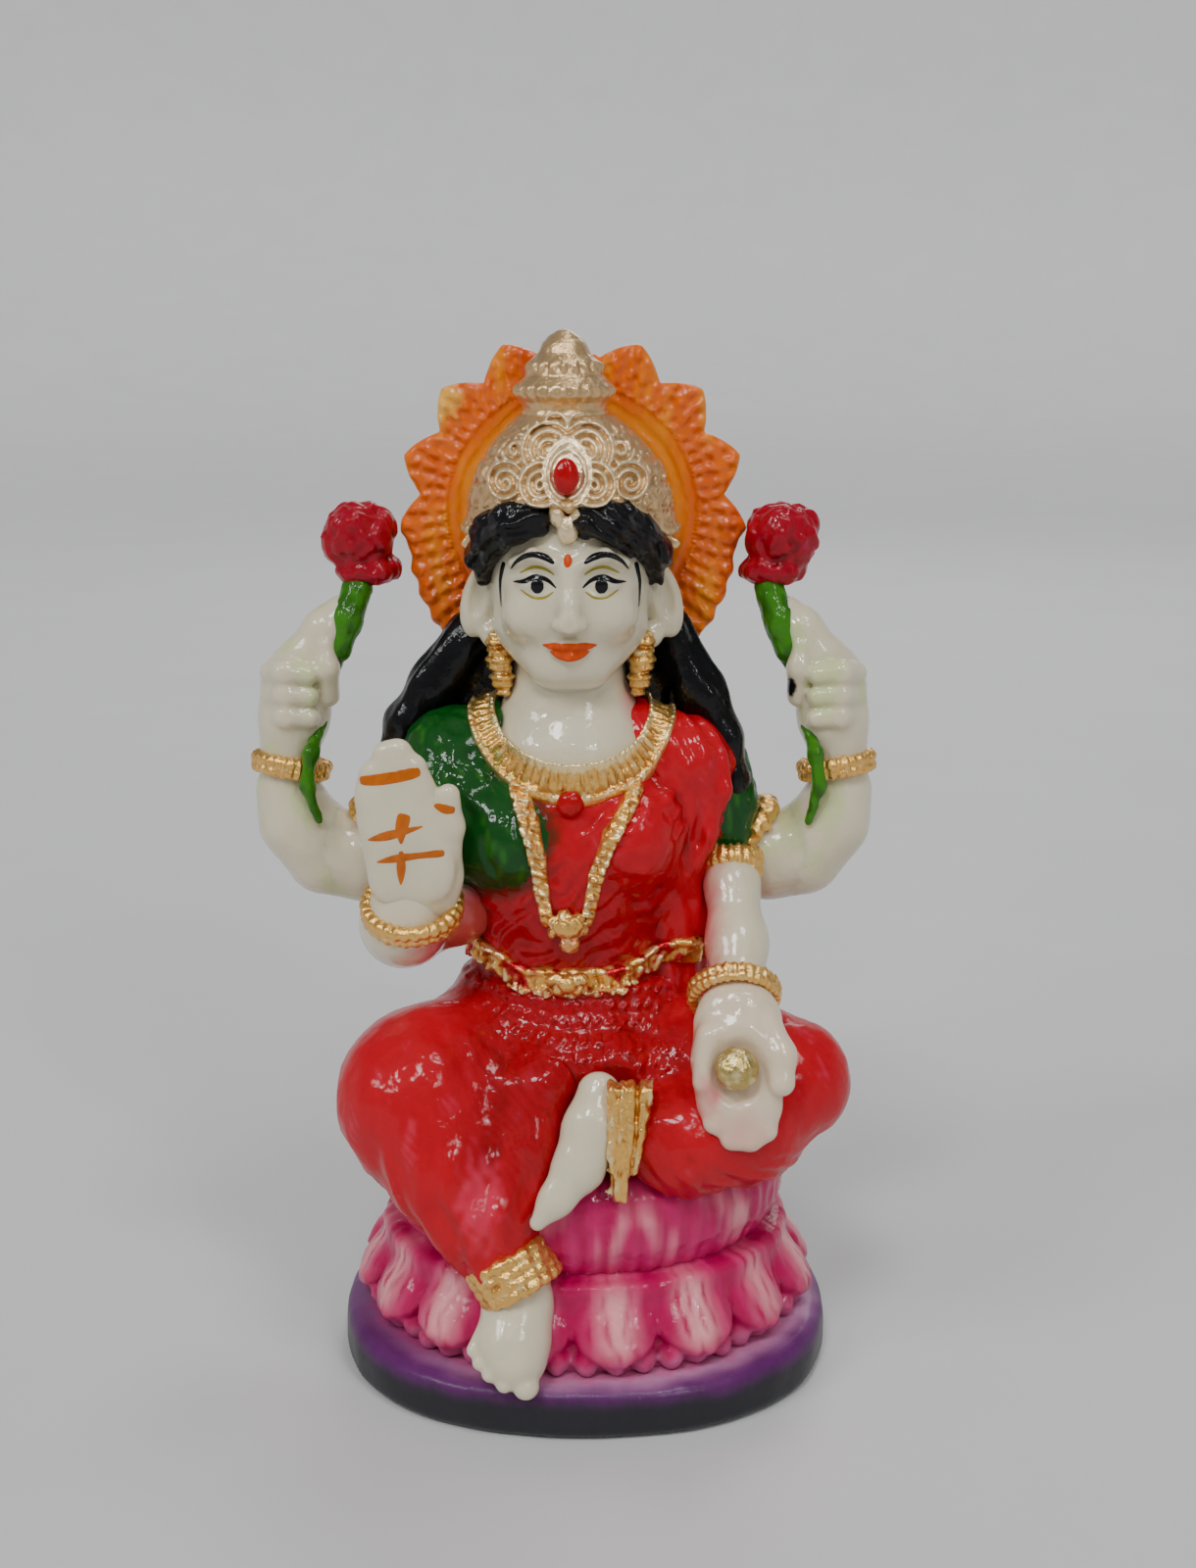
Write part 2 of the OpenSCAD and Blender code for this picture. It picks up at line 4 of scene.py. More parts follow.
import bpy
import numpy as np
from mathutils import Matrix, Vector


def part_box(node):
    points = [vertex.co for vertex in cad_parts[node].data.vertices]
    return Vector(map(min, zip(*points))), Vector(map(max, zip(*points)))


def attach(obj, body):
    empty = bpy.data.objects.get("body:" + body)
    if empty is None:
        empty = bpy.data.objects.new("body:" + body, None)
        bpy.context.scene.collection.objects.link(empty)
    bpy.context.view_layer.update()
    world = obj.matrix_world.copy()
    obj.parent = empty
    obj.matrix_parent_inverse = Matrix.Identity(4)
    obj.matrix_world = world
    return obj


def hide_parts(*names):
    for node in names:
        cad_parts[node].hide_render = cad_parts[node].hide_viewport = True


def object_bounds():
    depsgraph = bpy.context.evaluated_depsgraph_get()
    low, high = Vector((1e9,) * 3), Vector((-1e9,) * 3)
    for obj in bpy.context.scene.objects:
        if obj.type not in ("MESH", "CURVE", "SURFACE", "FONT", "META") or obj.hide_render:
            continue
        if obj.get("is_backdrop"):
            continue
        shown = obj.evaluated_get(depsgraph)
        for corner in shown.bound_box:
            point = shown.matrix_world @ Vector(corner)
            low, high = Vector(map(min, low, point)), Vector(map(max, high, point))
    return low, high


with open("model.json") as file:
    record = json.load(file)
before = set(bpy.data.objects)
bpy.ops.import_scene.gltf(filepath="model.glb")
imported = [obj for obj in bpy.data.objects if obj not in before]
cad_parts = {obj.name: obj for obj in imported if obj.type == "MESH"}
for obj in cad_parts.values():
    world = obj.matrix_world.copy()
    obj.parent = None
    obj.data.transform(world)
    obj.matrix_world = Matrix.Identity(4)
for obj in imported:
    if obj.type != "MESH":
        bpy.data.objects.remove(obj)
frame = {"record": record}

import openvdb
from mathutils import Vector
from mathutils.bvhtree import BVHTree

# The statuette is one casting, so its visible pieces are sculpted as distance fields that melt into each
# other, meshed, and painted by hand-like rules. Shapes are drawn in millimetres about the middle of the CAD
# node that they stand for, and grow with the frame.
CAD_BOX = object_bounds()
TALL = CAD_BOX[1].z - CAD_BOX[0].z
DRAWN_TALL = 130
UNIT = TALL / DRAWN_TALL
DRAFT = 1.0
SLOT_OF = {row["node"]: row["material_slot"] for row in frame["record"]["subparts"]}
BOXES = {}


# ---- Camera and lights ----

CAMERA_PLACE = (0.013, -1.731, 1.008)  # in statuette heights
CAMERA_DOWN = 14  # degrees below level
FOCAL_LENGTH, SENSOR_WIDTH = 42.75, 36

# Small suns above and in front, so that the lacquer shows small glints: tilt, pan, share of the power
SUNS = ((38, -20, 1.0), (30, 38, 0.6), (54, -58, 0.55), (20, 150, 0.4), (60, 30, 0.3))
SUN_POWER, SUN_WIDTH = 0.98, 13

# Softboxes: name, place and size in statuette heights, power, tint
SOFTBOXES = (("window_left", (-4.6, -5, 5.4), (0.3, 0.7), 0.9, (0.97, 0.99, 1)),
             ("tube_right", (3.4, -6, 5.5), (0.16, 0.8), 0.7, (1, 1, 1)),
             ("tube_front", (0.4, -7, 7), (0.7, 0.16), 0.7, (1, 1, 1)),
             ("back_fill", (1, 6, 4), (3, 2), 1.0, (1, 1, 1)))


def linked(name, data):
    """A new object in the scene."""
    made = bpy.data.objects.new(name, data)
    bpy.context.scene.collection.objects.link(made)
    return made


def make_camera():
    lens = bpy.data.cameras.new("camera")
    lens.sensor_width = SENSOR_WIDTH
    lens.lens = FOCAL_LENGTH
    lens.clip_start = 0.01
    camera = linked("camera", lens)
    camera.location = Vector(CAMERA_PLACE) * TALL
    camera.rotation_euler = (math.radians(90 - CAMERA_DOWN), 0, 0)
    bpy.context.scene.camera = camera


def make_lights():
    for i, (tilt, pan, share) in enumerate(SUNS):
        light = bpy.data.lights.new(f"daylight_{i}", "SUN")
        light.energy = SUN_POWER * share
        light.angle = math.radians(SUN_WIDTH)
        linked(f"daylight_{i}", light).rotation_euler = (math.radians(tilt), 0, math.radians(pan))
    for name, place, size, power, colour in SOFTBOXES:
        light = bpy.data.lights.new(name, "AREA")
        light.shape = "RECTANGLE"
        light.size, light.size_y = size[0] * TALL, size[1] * TALL
        light.energy = power
        light.color = colour
        lamp = linked(name, light)
        lamp.location = Vector(place) * TALL
        to_middle = Vector((0, 0, 0.5 * TALL)) - lamp.location
        lamp.rotation_euler = to_middle.to_track_quat("-Z", "Y").to_euler()


make_camera()
make_lights()


# ---- Distance fields ----

def box_of(node):
    """A CAD node's two corners, in sculpting millimetres."""
    if node not in BOXES:
        BOXES[node] = tuple(np.array(corner, np.float32) / np.float32(UNIT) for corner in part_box(node))
    return BOXES[node]


def at(node, *rows):
    """Rows of (x, y, z, ...) from the middle of a CAD node, in sculpting millimetres, placed in the frame."""
    lo, hi = box_of(node)
    placed = np.array(rows, np.float32)
    placed[:, :3] += (lo + hi) / 2
    return placed[0] if len(rows) == 1 else placed


def length(v):
    return np.sqrt((v * v).sum(-1))


def smooth(x, lo, hi):
    t = np.clip((x - lo) / (hi - lo), 0, 1)
    return t * t * (3 - 2 * t)


def melt(a, b, k):
    """The union of two fields, with a fillet of about k between them."""
    h = np.clip(0.5 + 0.5 * (b - a) / k, 0, 1)
    return b + (a - b) * h - k * h * (1 - h)


def melt_all(fields, k):
    total = fields[0]
    for f in fields[1:]:
        total = melt(total, f, k)
    return total


def carve(a, b, k=0.3):
    """a with b taken out of it."""
    return -melt(-a, b, k)


def turned(axis, degrees):
    """A matrix that brings points into axes tilted by degrees about x, y or z: use it as P @ turned(...)."""
    c, s = math.cos(math.radians(degrees)), math.sin(math.radians(degrees))
    i, j = {"x": (1, 2), "y": (2, 0), "z": (0, 1)}[axis]
    m = np.eye(3, dtype=np.float32)
    m[i, i], m[i, j], m[j, i], m[j, j] = c, -s, s, c
    return m


def egg(P, c, r, turn=None):
    q = P - c[:3]
    if turn is not None:
        q = q @ turn
    q = q / np.array(r, np.float32)
    k = length(q)
    return k * (k - 1) / np.maximum(length(q / np.array(r, np.float32)), 1e-6)


def limb(P, rows, k=1.0, flat=(1, 1, 1)):
    """Round cones through rows of (x, y, z, radius). flat squeezes the section along x, y or z."""
    flat = np.array(flat, np.float32)
    mid = rows[:, :3].mean(0)
    Q = (P - mid) / flat
    cones = []
    for a, b in zip(rows[:-1], rows[1:]):
        start = (a[:3] - mid) / flat
        along = (b[:3] - mid) / flat - start
        t = np.clip(((Q - start) @ along) / (along @ along), 0, 1)
        cones.append(length(Q - start - t[:, None] * along) - (a[3] + (b[3] - a[3]) * t))
    return melt_all(cones, k) * flat.min() ** 0.5


def stack(P, rows, power=2.0):
    """A column of level ovals: rows of (x, y, z, half width, half depth), lowest first."""
    z = P[:, 2]
    cx, cy, w, d = (np.interp(z, rows[:, 2], rows[:, i]) for i in (0, 1, 3, 4))
    u, v = np.abs(P[:, 0] - cx) / w, np.abs(P[:, 1] - cy) / d
    side = ((u ** power + v ** power) ** (1 / power) - 1) * np.minimum(w, d) * 0.9
    return np.maximum(side, np.maximum(rows[0, 2] - z, z - rows[-1, 2]))


def ring(P, c, radius, thick, turn):
    """A torus, and the angle round it."""
    q = (P - c) @ turn
    return np.hypot(np.hypot(q[:, 0], q[:, 1]) - radius, q[:, 2]) - thick, np.arctan2(q[:, 1], q[:, 0])


def noise(P, size):
    """Smooth lumps from about -1 to 1, of about the size given, made of crossed waves."""
    x, y, z = (P * np.float32(2.3 / size)).T
    a = np.sin(x + 1.4 * np.sin(0.9 * y + 0.4)) * np.cos(0.8 * z + 1.3 * np.sin(1.1 * x + 2.1))
    b = np.sin(1.7 * y + 1.5 * np.sin(1.2 * z + 1.9)) * np.cos(1.3 * x - 1.1 * np.sin(1.5 * y))
    return 0.6 * (a + b)


def folds(P, across, pitch, wobble, size=6):
    """Rounded folds from -1 to 1, pitch apart along a direction, that wander by wobble."""
    across = np.array(across, np.float32)
    phase = P @ (across / length(across)) + wobble * noise(P, size)
    return np.sin(2 * math.pi * phase / pitch)


# ---- Meshing ----

BLOCK = 8  # voxels along a block's side
FAR = 9.0  # the distance written where there is no surface near
BATCH = 100000  # points worked out at a time
SMALLEST_ISLAND = 250  # quads


def without_crumbs(verts, quads):
    """The mesh without its smallest islands, which are scraps of a relief."""
    island = np.arange(len(verts))
    while True:
        lowest = island.copy()
        for a, b in ((0, 1), (1, 2), (2, 3), (3, 0)):
            low = np.minimum(lowest[quads[:, a]], lowest[quads[:, b]])
            np.minimum.at(lowest, quads[:, a], low)
            np.minimum.at(lowest, quads[:, b], low)
        lowest = lowest[lowest]
        if (lowest == island).all():
            break
        island = lowest
    sizes = np.bincount(island[quads[:, 0]], minlength=len(verts))
    kept = quads[sizes[island[quads[:, 0]]] >= SMALLEST_ISLAND]
    used, kept = np.unique(kept, return_inverse=True)
    return verts[used], kept.reshape(-1, 4)


def surface(field, lo, hi, voxel):
    """The zero surface of a field inside a box: (points, quads). Only blocks near it are worked out."""
    n = BLOCK
    lo = lo.astype(np.float32)
    blocks = np.ceil((hi - lo) / (voxel * n)).astype(int) + 1
    corner = np.stack(np.meshgrid(*[np.arange(b) for b in blocks], indexing="ij"), -1).reshape(-1, 3)
    middle = (lo + (corner * n + n / 2) * voxel).astype(np.float32)
    rough = field(middle)
    near = np.abs(rough) < n * voxel * 1.1 + 0.5
    grid = np.repeat(np.sign(rough)[:, None] * FAR, n ** 3, axis=1).astype(np.float32)
    step = np.stack(np.meshgrid(*[np.arange(n)] * 3, indexing="ij"), -1).reshape(-1, 3)
    points = (lo + (corner[near][:, None] * n + step) * voxel).astype(np.float32).reshape(-1, 3)
    parts = np.array_split(points, max(1, len(points) // BATCH))
    grid[near] = np.concatenate([field(part) for part in parts]).reshape(-1, n ** 3)
    dense = grid.reshape((*blocks, n, n, n)).transpose(0, 3, 1, 4, 2, 5).reshape(blocks * n)
    # A closed border, so that every piece is a closed solid
    for axis in range(3):
        edge = np.moveaxis(dense, axis, 0)
        edge[0], edge[-1] = np.maximum(edge[0], voxel), np.maximum(edge[-1], voxel)
    level = openvdb.FloatGrid()
    level.background = FAR
    level.copyFromArray(np.ascontiguousarray(dense))
    verts, quads = without_crumbs(*level.convertToQuads(0))
    return lo + verts.astype(np.float32) * np.float32(voxel), quads[:, ::-1]


def tint(red, green, blue):
    return np.array((red, green, blue), np.float32)


def blend(a, b, t):
    t = np.clip(t, 0, 1)[..., None]
    return a * (1 - t) + b * t


def put(name, nodes, verts, faces, material, slot, colours):
    """Makes a piece from a mesh in sculpting millimetres, on the body, names it, and hides the CAD parts that
    it stands for.
    """
    mesh = bpy.data.meshes.new(name)
    mesh.from_pydata((np.asarray(verts, float) * UNIT).tolist(), [], np.asarray(faces).tolist())
    mesh.shade_smooth()
    layer = mesh.color_attributes.new("Paint", "FLOAT_COLOR", "POINT")
    rgba = np.ones((len(verts), 4), np.float32)
    rgba[:, :3] = np.clip(colours, 0, 1)
    layer.data.foreach_set("color", rgba.ravel())
    mesh.materials.append(material)
    piece = linked(name, mesh)
    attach(piece, "root")
    if nodes:
        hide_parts(*nodes)
    return piece


def normals_of(verts, quads):
    cross = np.cross(verts[quads[:, 2]] - verts[quads[:, 0]], verts[quads[:, 3]] - verts[quads[:, 1]])
    total = np.zeros_like(verts)
    for i in range(4):
        np.add.at(total, quads[:, i], cross)
    return total / np.maximum(length(total), 1e-9)[:, None]


RELIEF = 0.7  # how far from the surface creases and ridges are felt


def sculpt(node, field, colours, voxel=0.4, margin=1.2):
    """Sculpts the piece that stands for a CAD node, and paints it by a rule of the four things that
    every colours function takes: the points, the way out of the surface, and how much each lies in a
    crease or on a ridge, from 0 to 1."""
    lo, hi = box_of(node)
    verts, quads = surface(field, lo - margin, hi + margin, voxel * DRAFT)
    out = normals_of(verts, quads)
    if (out * (verts - verts.mean(0))).sum() < 0:
        quads, out = quads[:, ::-1], -out
    # How much each point lies in a crease or on a ridge; many colours rules use these for painted shade in
    # creases and painted highlights on ridges.
    crease = 1 - field(verts + out * RELIEF) / RELIEF
    ridge = 1 + field(verts - out * RELIEF) / RELIEF
    painted = colours(verts, out, np.clip(crease, 0, 1), np.clip(ridge, 0, 1))
    slot = SLOT_OF[node]
    return put(node, (node,), verts, quads, PAINT_OF[slot], slot, painted)


def reaching(node, field, reach=4.0):
    """The field near its CAD node's box, and the distance from that box elsewhere, which is quicker."""
    lo, hi = box_of(node)

    def quick(P):
        away = length(np.maximum(np.maximum(lo - P, P - hi), 0)).astype(np.float32)
        near = away < reach
        if near.any():
            away[near] = field(P[near])
        return away

    return quick


def family(members, k, overlap=0.25):
    """Fields that melt together, each cut where its neighbour takes over: the pieces of one casting."""
    quick = {name: reaching(name, field) for name, field in members.items()}

    def cut(name):
        def field(P):
            each = {n: f(P) for n, f in quick.items()}
            rest = np.min([d for n, d in each.items() if n != name], axis=0)
            return np.maximum(melt_all(list(each.values()), k), (each[name] - rest) / 2 - overlap)
        return reaching(name, field)

    return {n: cut(n) for n in members}


# ---- Materials ----

def add(tree, kind, **sockets):
    made = tree.nodes.new("ShaderNode" + kind)
    for key, value in sockets.items():
        socket = made.inputs[key.replace("_", " ")]
        if hasattr(value, "is_output"):
            tree.links.new(value, socket)
        else:
            socket.default_value = value
    return made


def mixed(tree, how, factor, a, b):
    made = tree.nodes.new("ShaderNodeMix")
    made.data_type = "RGBA"
    made.blend_type = how
    for index, value in ((0, factor), (6, a), (7, b)):
        if hasattr(value, "is_output"):
            tree.links.new(value, made.inputs[index])
        else:
            made.inputs[index].default_value = value
    return made.outputs[2]


def between(tree, value, lo, hi):
    return add(tree, "MapRange", Value=value, To_Min=lo, To_Max=hi).outputs[0]


def new_material(name):
    """(material, its node tree, its shader, its object coordinates)."""
    material = bpy.data.materials.new(name)
    material.use_nodes = True
    tree = material.node_tree
    place = tree.nodes.new("ShaderNodeTexCoord").outputs["Object"]
    return material, tree, tree.nodes["Principled BSDF"], place


def finish_of(name, rough, bumps, streak=0.12, **sockets):
    """A painted surface: its Paint layer, brushed a little unevenly, over bumps of (size, height) in mm."""
    material, tree, shader, place = new_material(name)
    paint = tree.nodes.new("ShaderNodeAttribute")
    paint.attribute_name = "Paint"
    brushed = add(tree, "Mapping", Vector=place, Scale=(1, 1, 0.35))
    uneven = add(tree, "TexNoise", Vector=brushed.outputs[0], Scale=0.9 / UNIT, Detail=5.0, Roughness=0.6)
    shade = between(tree, uneven.outputs["Fac"], 1 - streak, 1 + streak)
    grey = add(tree, "CombineColor", Red=shade, Green=shade, Blue=shade).outputs[0]
    tree.links.new(mixed(tree, "MULTIPLY", 1.0, paint.outputs["Color"], grey), shader.inputs["Base Color"])
    tree.links.new(between(tree, uneven.outputs["Fac"], rough[0], rough[1]), shader.inputs["Roughness"])
    last = None
    for size, height in bumps:
        lump = add(tree, "TexNoise", Vector=place, Scale=1 / (size * UNIT), Detail=2.0, Roughness=0.5)
        bump = add(tree, "Bump", Height=lump.outputs["Fac"], Distance=height * UNIT, Strength=1.0)
        if last is not None:
            tree.links.new(last, bump.inputs["Normal"])
        last = bump.outputs[0]
    tree.links.new(last, shader.inputs["Normal"])
    tree.links.new(last, shader.inputs["Coat Normal"])
    for key, value in sockets.items():
        shader.inputs[key.replace("_", " ")].default_value = value
    return material


WAX = {"Subsurface_Weight": 0.35, "Subsurface_Radius": (1.0, 0.75, 0.55), "Subsurface_Scale": 2.2 * UNIT}
LACQUER = {"Coat_Weight": 0.9, "Coat_Roughness": 0.04, "Coat_IOR": 1.5, "Specular_IOR_Level": 0.3}
DARK_LACQUER = {"Coat_Weight": 0.55, "Coat_Roughness": 0.05, "Coat_IOR": 1.45, "Specular_IOR_Level": 0.08}
HALO_LACQUER = {**DARK_LACQUER, "Coat_Weight": 0.75}

skin_paint = finish_of("ivory_resin", (0.25, 0.4), ((2.2, 0.10), (0.7, 0.03)), 0.03, **WAX, **LACQUER)
cloth_paint = finish_of("lacquered_cloth", (0.4, 0.6), ((1.8, 0.10), (0.6, 0.04)), 0.13, **DARK_LACQUER,
                        Subsurface_Weight=0.1, Subsurface_Scale=1.2 * UNIT)
petal_paint = finish_of("lacquered_petals", (0.35, 0.5), ((1.8, 0.14), (0.6, 0.05)), 0.12, **DARK_LACQUER,
                        Subsurface_Weight=0.2, Subsurface_Scale=1.6 * UNIT)
halo_paint = finish_of("lacquered_halo", (0.35, 0.5), ((1.6, 0.1), (0.5, 0.04)), 0.08, **HALO_LACQUER,
                       Subsurface_Weight=0.2, Subsurface_Scale=1.6 * UNIT)
hair_paint = finish_of("lacquered_hair", (0.4, 0.55), ((1.1, 0.12), (0.4, 0.04)), 0.2, **DARK_LACQUER)
plinth_paint = finish_of("plinth_paint", (0.38, 0.6), ((1.4, 0.05), (0.3, 0.02)), 0.2, Coat_Weight=0.3,
                         Coat_Roughness=0.2, Specular_IOR_Level=0.2)
gold_paint = finish_of("gold_paint", (0.2, 0.38), ((0.7, 0.16), (0.28, 0.07)), 0.2, Metallic=0.85,
                       Coat_Weight=0.4, Coat_Roughness=0.08)
crown_paint = finish_of("pearl_gold_paint", (0.22, 0.4), ((0.7, 0.10), (0.25, 0.05)), 0.14, Metallic=0.75,
                        Coat_Weight=0.35, Coat_Roughness=0.12)
gem_paint = finish_of("gem_paint", (0.15, 0.25), ((0.9, 0.05), (0.3, 0.01)), 0.15, **DARK_LACQUER)
line_paint = finish_of("brushed_line_paint", (0.35, 0.5), ((0.6, 0.02), (0.2, 0.01)), 0.2, **DARK_LACQUER)
PAINT_OF = {"plinth_black": plinth_paint, "lotus_pink": petal_paint, "stem_green": petal_paint,
            "bud_crimson": petal_paint, "sari_red": cloth_paint, "blouse_green": cloth_paint,
            "skin_ivory": skin_paint, "hair_black": hair_paint, "gold_paint": gold_paint,
            "crown_gold": crown_paint, "gem_red": gem_paint, "bindi_orange": line_paint,
            "halo_orange": halo_paint}

IVORY, BLUSH, SHADOWED = tint(0.70, 0.63, 0.45), tint(0.72, 0.26, 0.23), tint(0.56, 0.48, 0.28)
RED, DEEP_RED, WORN = tint(0.51, 0.001, 0.011), tint(0.2, 0.001, 0.003), tint(0.66, 0.035, 0.085)
GREEN, LIME, DEEP_GREEN = tint(0.003, 0.065, 0.006), tint(0.03, 0.2, 0.008), tint(0.001, 0.025, 0.003)
# The pale gold is a painted highlight for ridges; the burnt orange, for creases, is the orange undercoat
# darkened as painted shade.
GOLD, GOLD_HIGHLIGHT, BURNT = tint(0.86, 0.49, 0.12), tint(0.98, 0.82, 0.44), tint(0.52, 0.19, 0.02)
# The deeper pearl is painted shade for the crown's creases.
PEARL, PEARL_SHADE = tint(0.70, 0.46, 0.22), tint(0.42, 0.20, 0.07)
ORANGE, YELLOW, FLAME = tint(0.76, 0.13, 0), tint(0.84, 0.27, 0), tint(0.60, 0.06, 0)
MAGENTA, PETAL_PINK, PALE = tint(0.44, 0.001, 0.08), tint(0.62, 0.02, 0.16), tint(0.92, 0.42, 0.44)
PURPLE, LAVENDER, SLATE = tint(0.11, 0.012, 0.12), tint(0.56, 0.26, 0.46), tint(0.017, 0.017, 0.022)
BLACK, CRIMSON, LEAF = tint(0.002, 0.002, 0.003), tint(0.34, 0.001, 0.014), tint(0.04, 0.2, 0.006)
LINE_ORANGE, STROKE_ORANGE, OLIVE = tint(0.62, 0.06, 0.002), tint(0.50, 0.11, 0.002), tint(0.30, 0.24, 0.02)
GEM_RED = tint(0.42, 0.001, 0.006)


def plain(colour, lump, depth):
    """A rule for one colour that is a little uneven."""
    return lambda P, *_: np.repeat(colour[None], len(P), 0) * (1 + depth * noise(P, lump))[:, None]


# ---- Plinth and lotus ----

def plinth(P):
    lo, hi = at("plinth", (-31.5, -27, -3.25), (31.5, 27, 3.25))
    half = (hi - lo) / 2
    q = np.abs(P - (lo + hi) / 2) / half
    side = ((q[:, 0] ** 2.3 + q[:, 1] ** 2.3) ** (1 / 2.3) - 1) * half[1]
    inset = 0.22 * smooth(P[:, 2], lo[2] + 3.5, hi[2]) + 0.3 * smooth(-P[:, 2], -lo[2] - 1, -lo[2])
    side = side + inset + 0.12 * noise(P, 7)
    top = P[:, 2] - hi[2] + 0.08 * noise(P, 4)
    edge = 1.5
    return rounded_both(side, np.maximum(top, lo[2] - P[:, 2]), edge)


def rounded_both(a, b, r):
    """Where both fields are inside, with the edge between them rounded to r."""
    u, v = np.maximum(a + r, 0), np.maximum(b + r, 0)
    return np.minimum(np.maximum(a, b), -r) + np.hypot(u, v)


def plinth_colours(P, out, crease, ridge):
    """Near-black sides that run into violet on top, and lilac towards the front."""
    top = at("plinth", (0, 0, 3.25))
    outwards = np.hypot(P[:, 0] / 31.5, P[:, 1] / 27)
    rise = P[:, 2] - top[2] + 0.35 * noise(P, 5) + 0.15 * noise(P, 1)
    colour = blend(SLATE, PURPLE, smooth(rise, -2.6, -0.1))
    front = smooth(-P[:, 1] + 0.5 * P[:, 0], 2, 20)
    pale = smooth(1.04 - outwards + 0.015 * noise(P, 5), 0.03, 0.15) * smooth(out[:, 2], 0.5, 0.95)
    colour = blend(colour, LAVENDER, (0.25 + 0.7 * front) * pale)
    return blend(colour, PETAL_PINK, 0.4 * smooth(0.92 - outwards + 0.02 * noise(P, 2), -0.02, 0.06))


PETALS = 16


def petal_angle(P):
    """(-1 to 1 across the nearest petal, that petal's number, distance out) round the flower."""
    mid = at("lotus_seat", (0, 0.5, 0))
    x, y = P[:, 0] - mid[0], (P[:, 1] - mid[1]) / 0.845
    turn = (np.arctan2(y, x) + math.radians(82)) * PETALS / (2 * math.pi)
    number = np.round(turn)
    return (turn - number) * 2, number, np.hypot(x, y)


def lotus_lower(P):
    across, number, out = petal_angle(P)
    z = P[:, 2] - at("lotus_seat", (0, 0, -24))[2]
    swell = 0.5 * np.sin(number * 2.4)
    rise = np.array((6.4, 7.4, 8.6, 10.5, 13, 16, 18.5, 20.4))
    reach = np.interp(z, rise, (27.6, 29.2, 30.0, 29.8, 28.6, 26.2, 23.6, 20.6)) + 0.5 * swell
    bulge = np.sqrt(np.clip(1 - 0.9 * across ** 2, 0, 1))
    depth = np.interp(z, (7, 12, 20), (3.4, 2.4, 0.8))
    ribs = 0.10 * np.sin(across * 15 + 1.2 * noise(P, 4))
    petal = (out - reach + depth * (1 - bulge) - ribs) * 0.72
    hem = (8.1 + 0.4 * swell + 3.2 * across ** 2 - z) * 0.8
    petal = rounded_both(petal, np.maximum(hem, z - 20.4), 1.1)
    # Small lobes show under and between the tips
    lobe_size = 1.9 * np.abs(np.cos(across * math.pi * 1.5)) ** 0.7
    lobe = np.hypot(out - 26.8 - 0.5 * swell, (z - 8.2) * 1.1) - lobe_size
    bed = rounded_both((out - 26.4) * 0.8, np.abs(z - 12) - 6, 1)
    return melt(melt(petal, bed, 0.5), lobe, 0.7) - 0.13 * noise(P, 1.9)


def lotus_seat(P):
    mid = at("lotus_seat", (0, 0, 0))
    body = stack(P, at("lotus_seat", (0, 0, -7, 22.3, 18.3), (0, 0, -4.6, 24.6, 20.4), (0, 0, -2, 25.8, 21.4),
                       (0, 0, 1.5, 26.1, 21.7), (0, 0, 4.6, 25.2, 20.9), (0, 0, 7, 22.6, 19)))
    turn = np.arctan2((P[:, 1] - mid[1]) * 1.2, P[:, 0] - mid[0])
    ribs = np.sin(turn * 58 + 0.5 * noise(P, 6)) * (0.7 + 0.3 * noise(P, 4))
    return body + 0.16 * ribs + 0.1 * noise(P, 3) + 0.25


def petal_colours(P, out, crease, ridge):
    across, number = petal_angle(P)[:2]
    z = P[:, 2] - at("lotus_seat", (0, 0, -24))[2]
    streak = noise(np.stack([across * 7, z * 0.3, number], 1), 1.2)
    colour = blend(MAGENTA, PETAL_PINK, 0.4 + 0.4 * streak)
    middle = np.exp(-((across + 0.1 * np.sin(number * 1.7)) / 0.42) ** 2)
    middle = middle * smooth(-np.abs(z - 13.8), -5.4, -2)
    colour = blend(colour, PALE, (0.75 + 0.15 * np.sin(number * 2.1)) * middle * smooth(streak, -1.2, 0.1))
    colour = blend(colour, MAGENTA, 0.9 * smooth(np.abs(across), 0.55, 0.9))
    # Painted shade: darker in the creases.
    colour = blend(colour, tint(0.22, 0.001, 0.05), 0.6 * smooth(crease, 0.15, 0.6))
    return blend(colour, LAVENDER, 0.35 * smooth(-z + 0.8 * noise(P, 2), -9.6, -7.6))


def seat_colours(P, out, crease, ridge):
    z = P[:, 2] - at("lotus_seat", (0, 0, -24))[2]
    turn = np.arctan2(P[:, 1], P[:, 0])
    streak = noise(np.stack([turn * 30, turn * 0, z * 0.1], 1), 1.6)
    broad = noise(np.stack([turn * 8, turn * 0, z * 0.1], 1), 1.6)
    colour = blend(MAGENTA, PETAL_PINK, 0.45 + 0.45 * streak)
    # Painted highlight: pale on the band where the seat bulges out most.
    bulge = np.exp(-((z - 24.3) / 3.2) ** 2)
    colour = blend(colour, PALE, 0.75 * bulge * smooth(broad + 0.3 * streak, -0.2, 0.7))
    # Painted shade: deeper magenta in the creases.
    return blend(colour, MAGENTA, 0.5 * smooth(crease, 0.2, 0.7))


# ---- The cloth: sari and blouse ----

def dashes(P, pitch=1.25, run=2.7):
    """Short raised dashes that slant up to the figure's left, as the sari's lap is patterned."""
    along = (P[:, 0] + P[:, 2]) * 0.71 + 0.5 * noise(P, 3)
    across = (P[:, 2] - P[:, 0]) * 0.71 / pitch + 0.25 * noise(P, 4)
    row = np.round(across)
    ridge = np.cos((across - row) * 2 * math.pi)
    dash = np.sin(2 * math.pi * along / run + row * 2.4)
    return smooth(ridge, -0.2, 1) * smooth(dash, -0.3, 0.6)


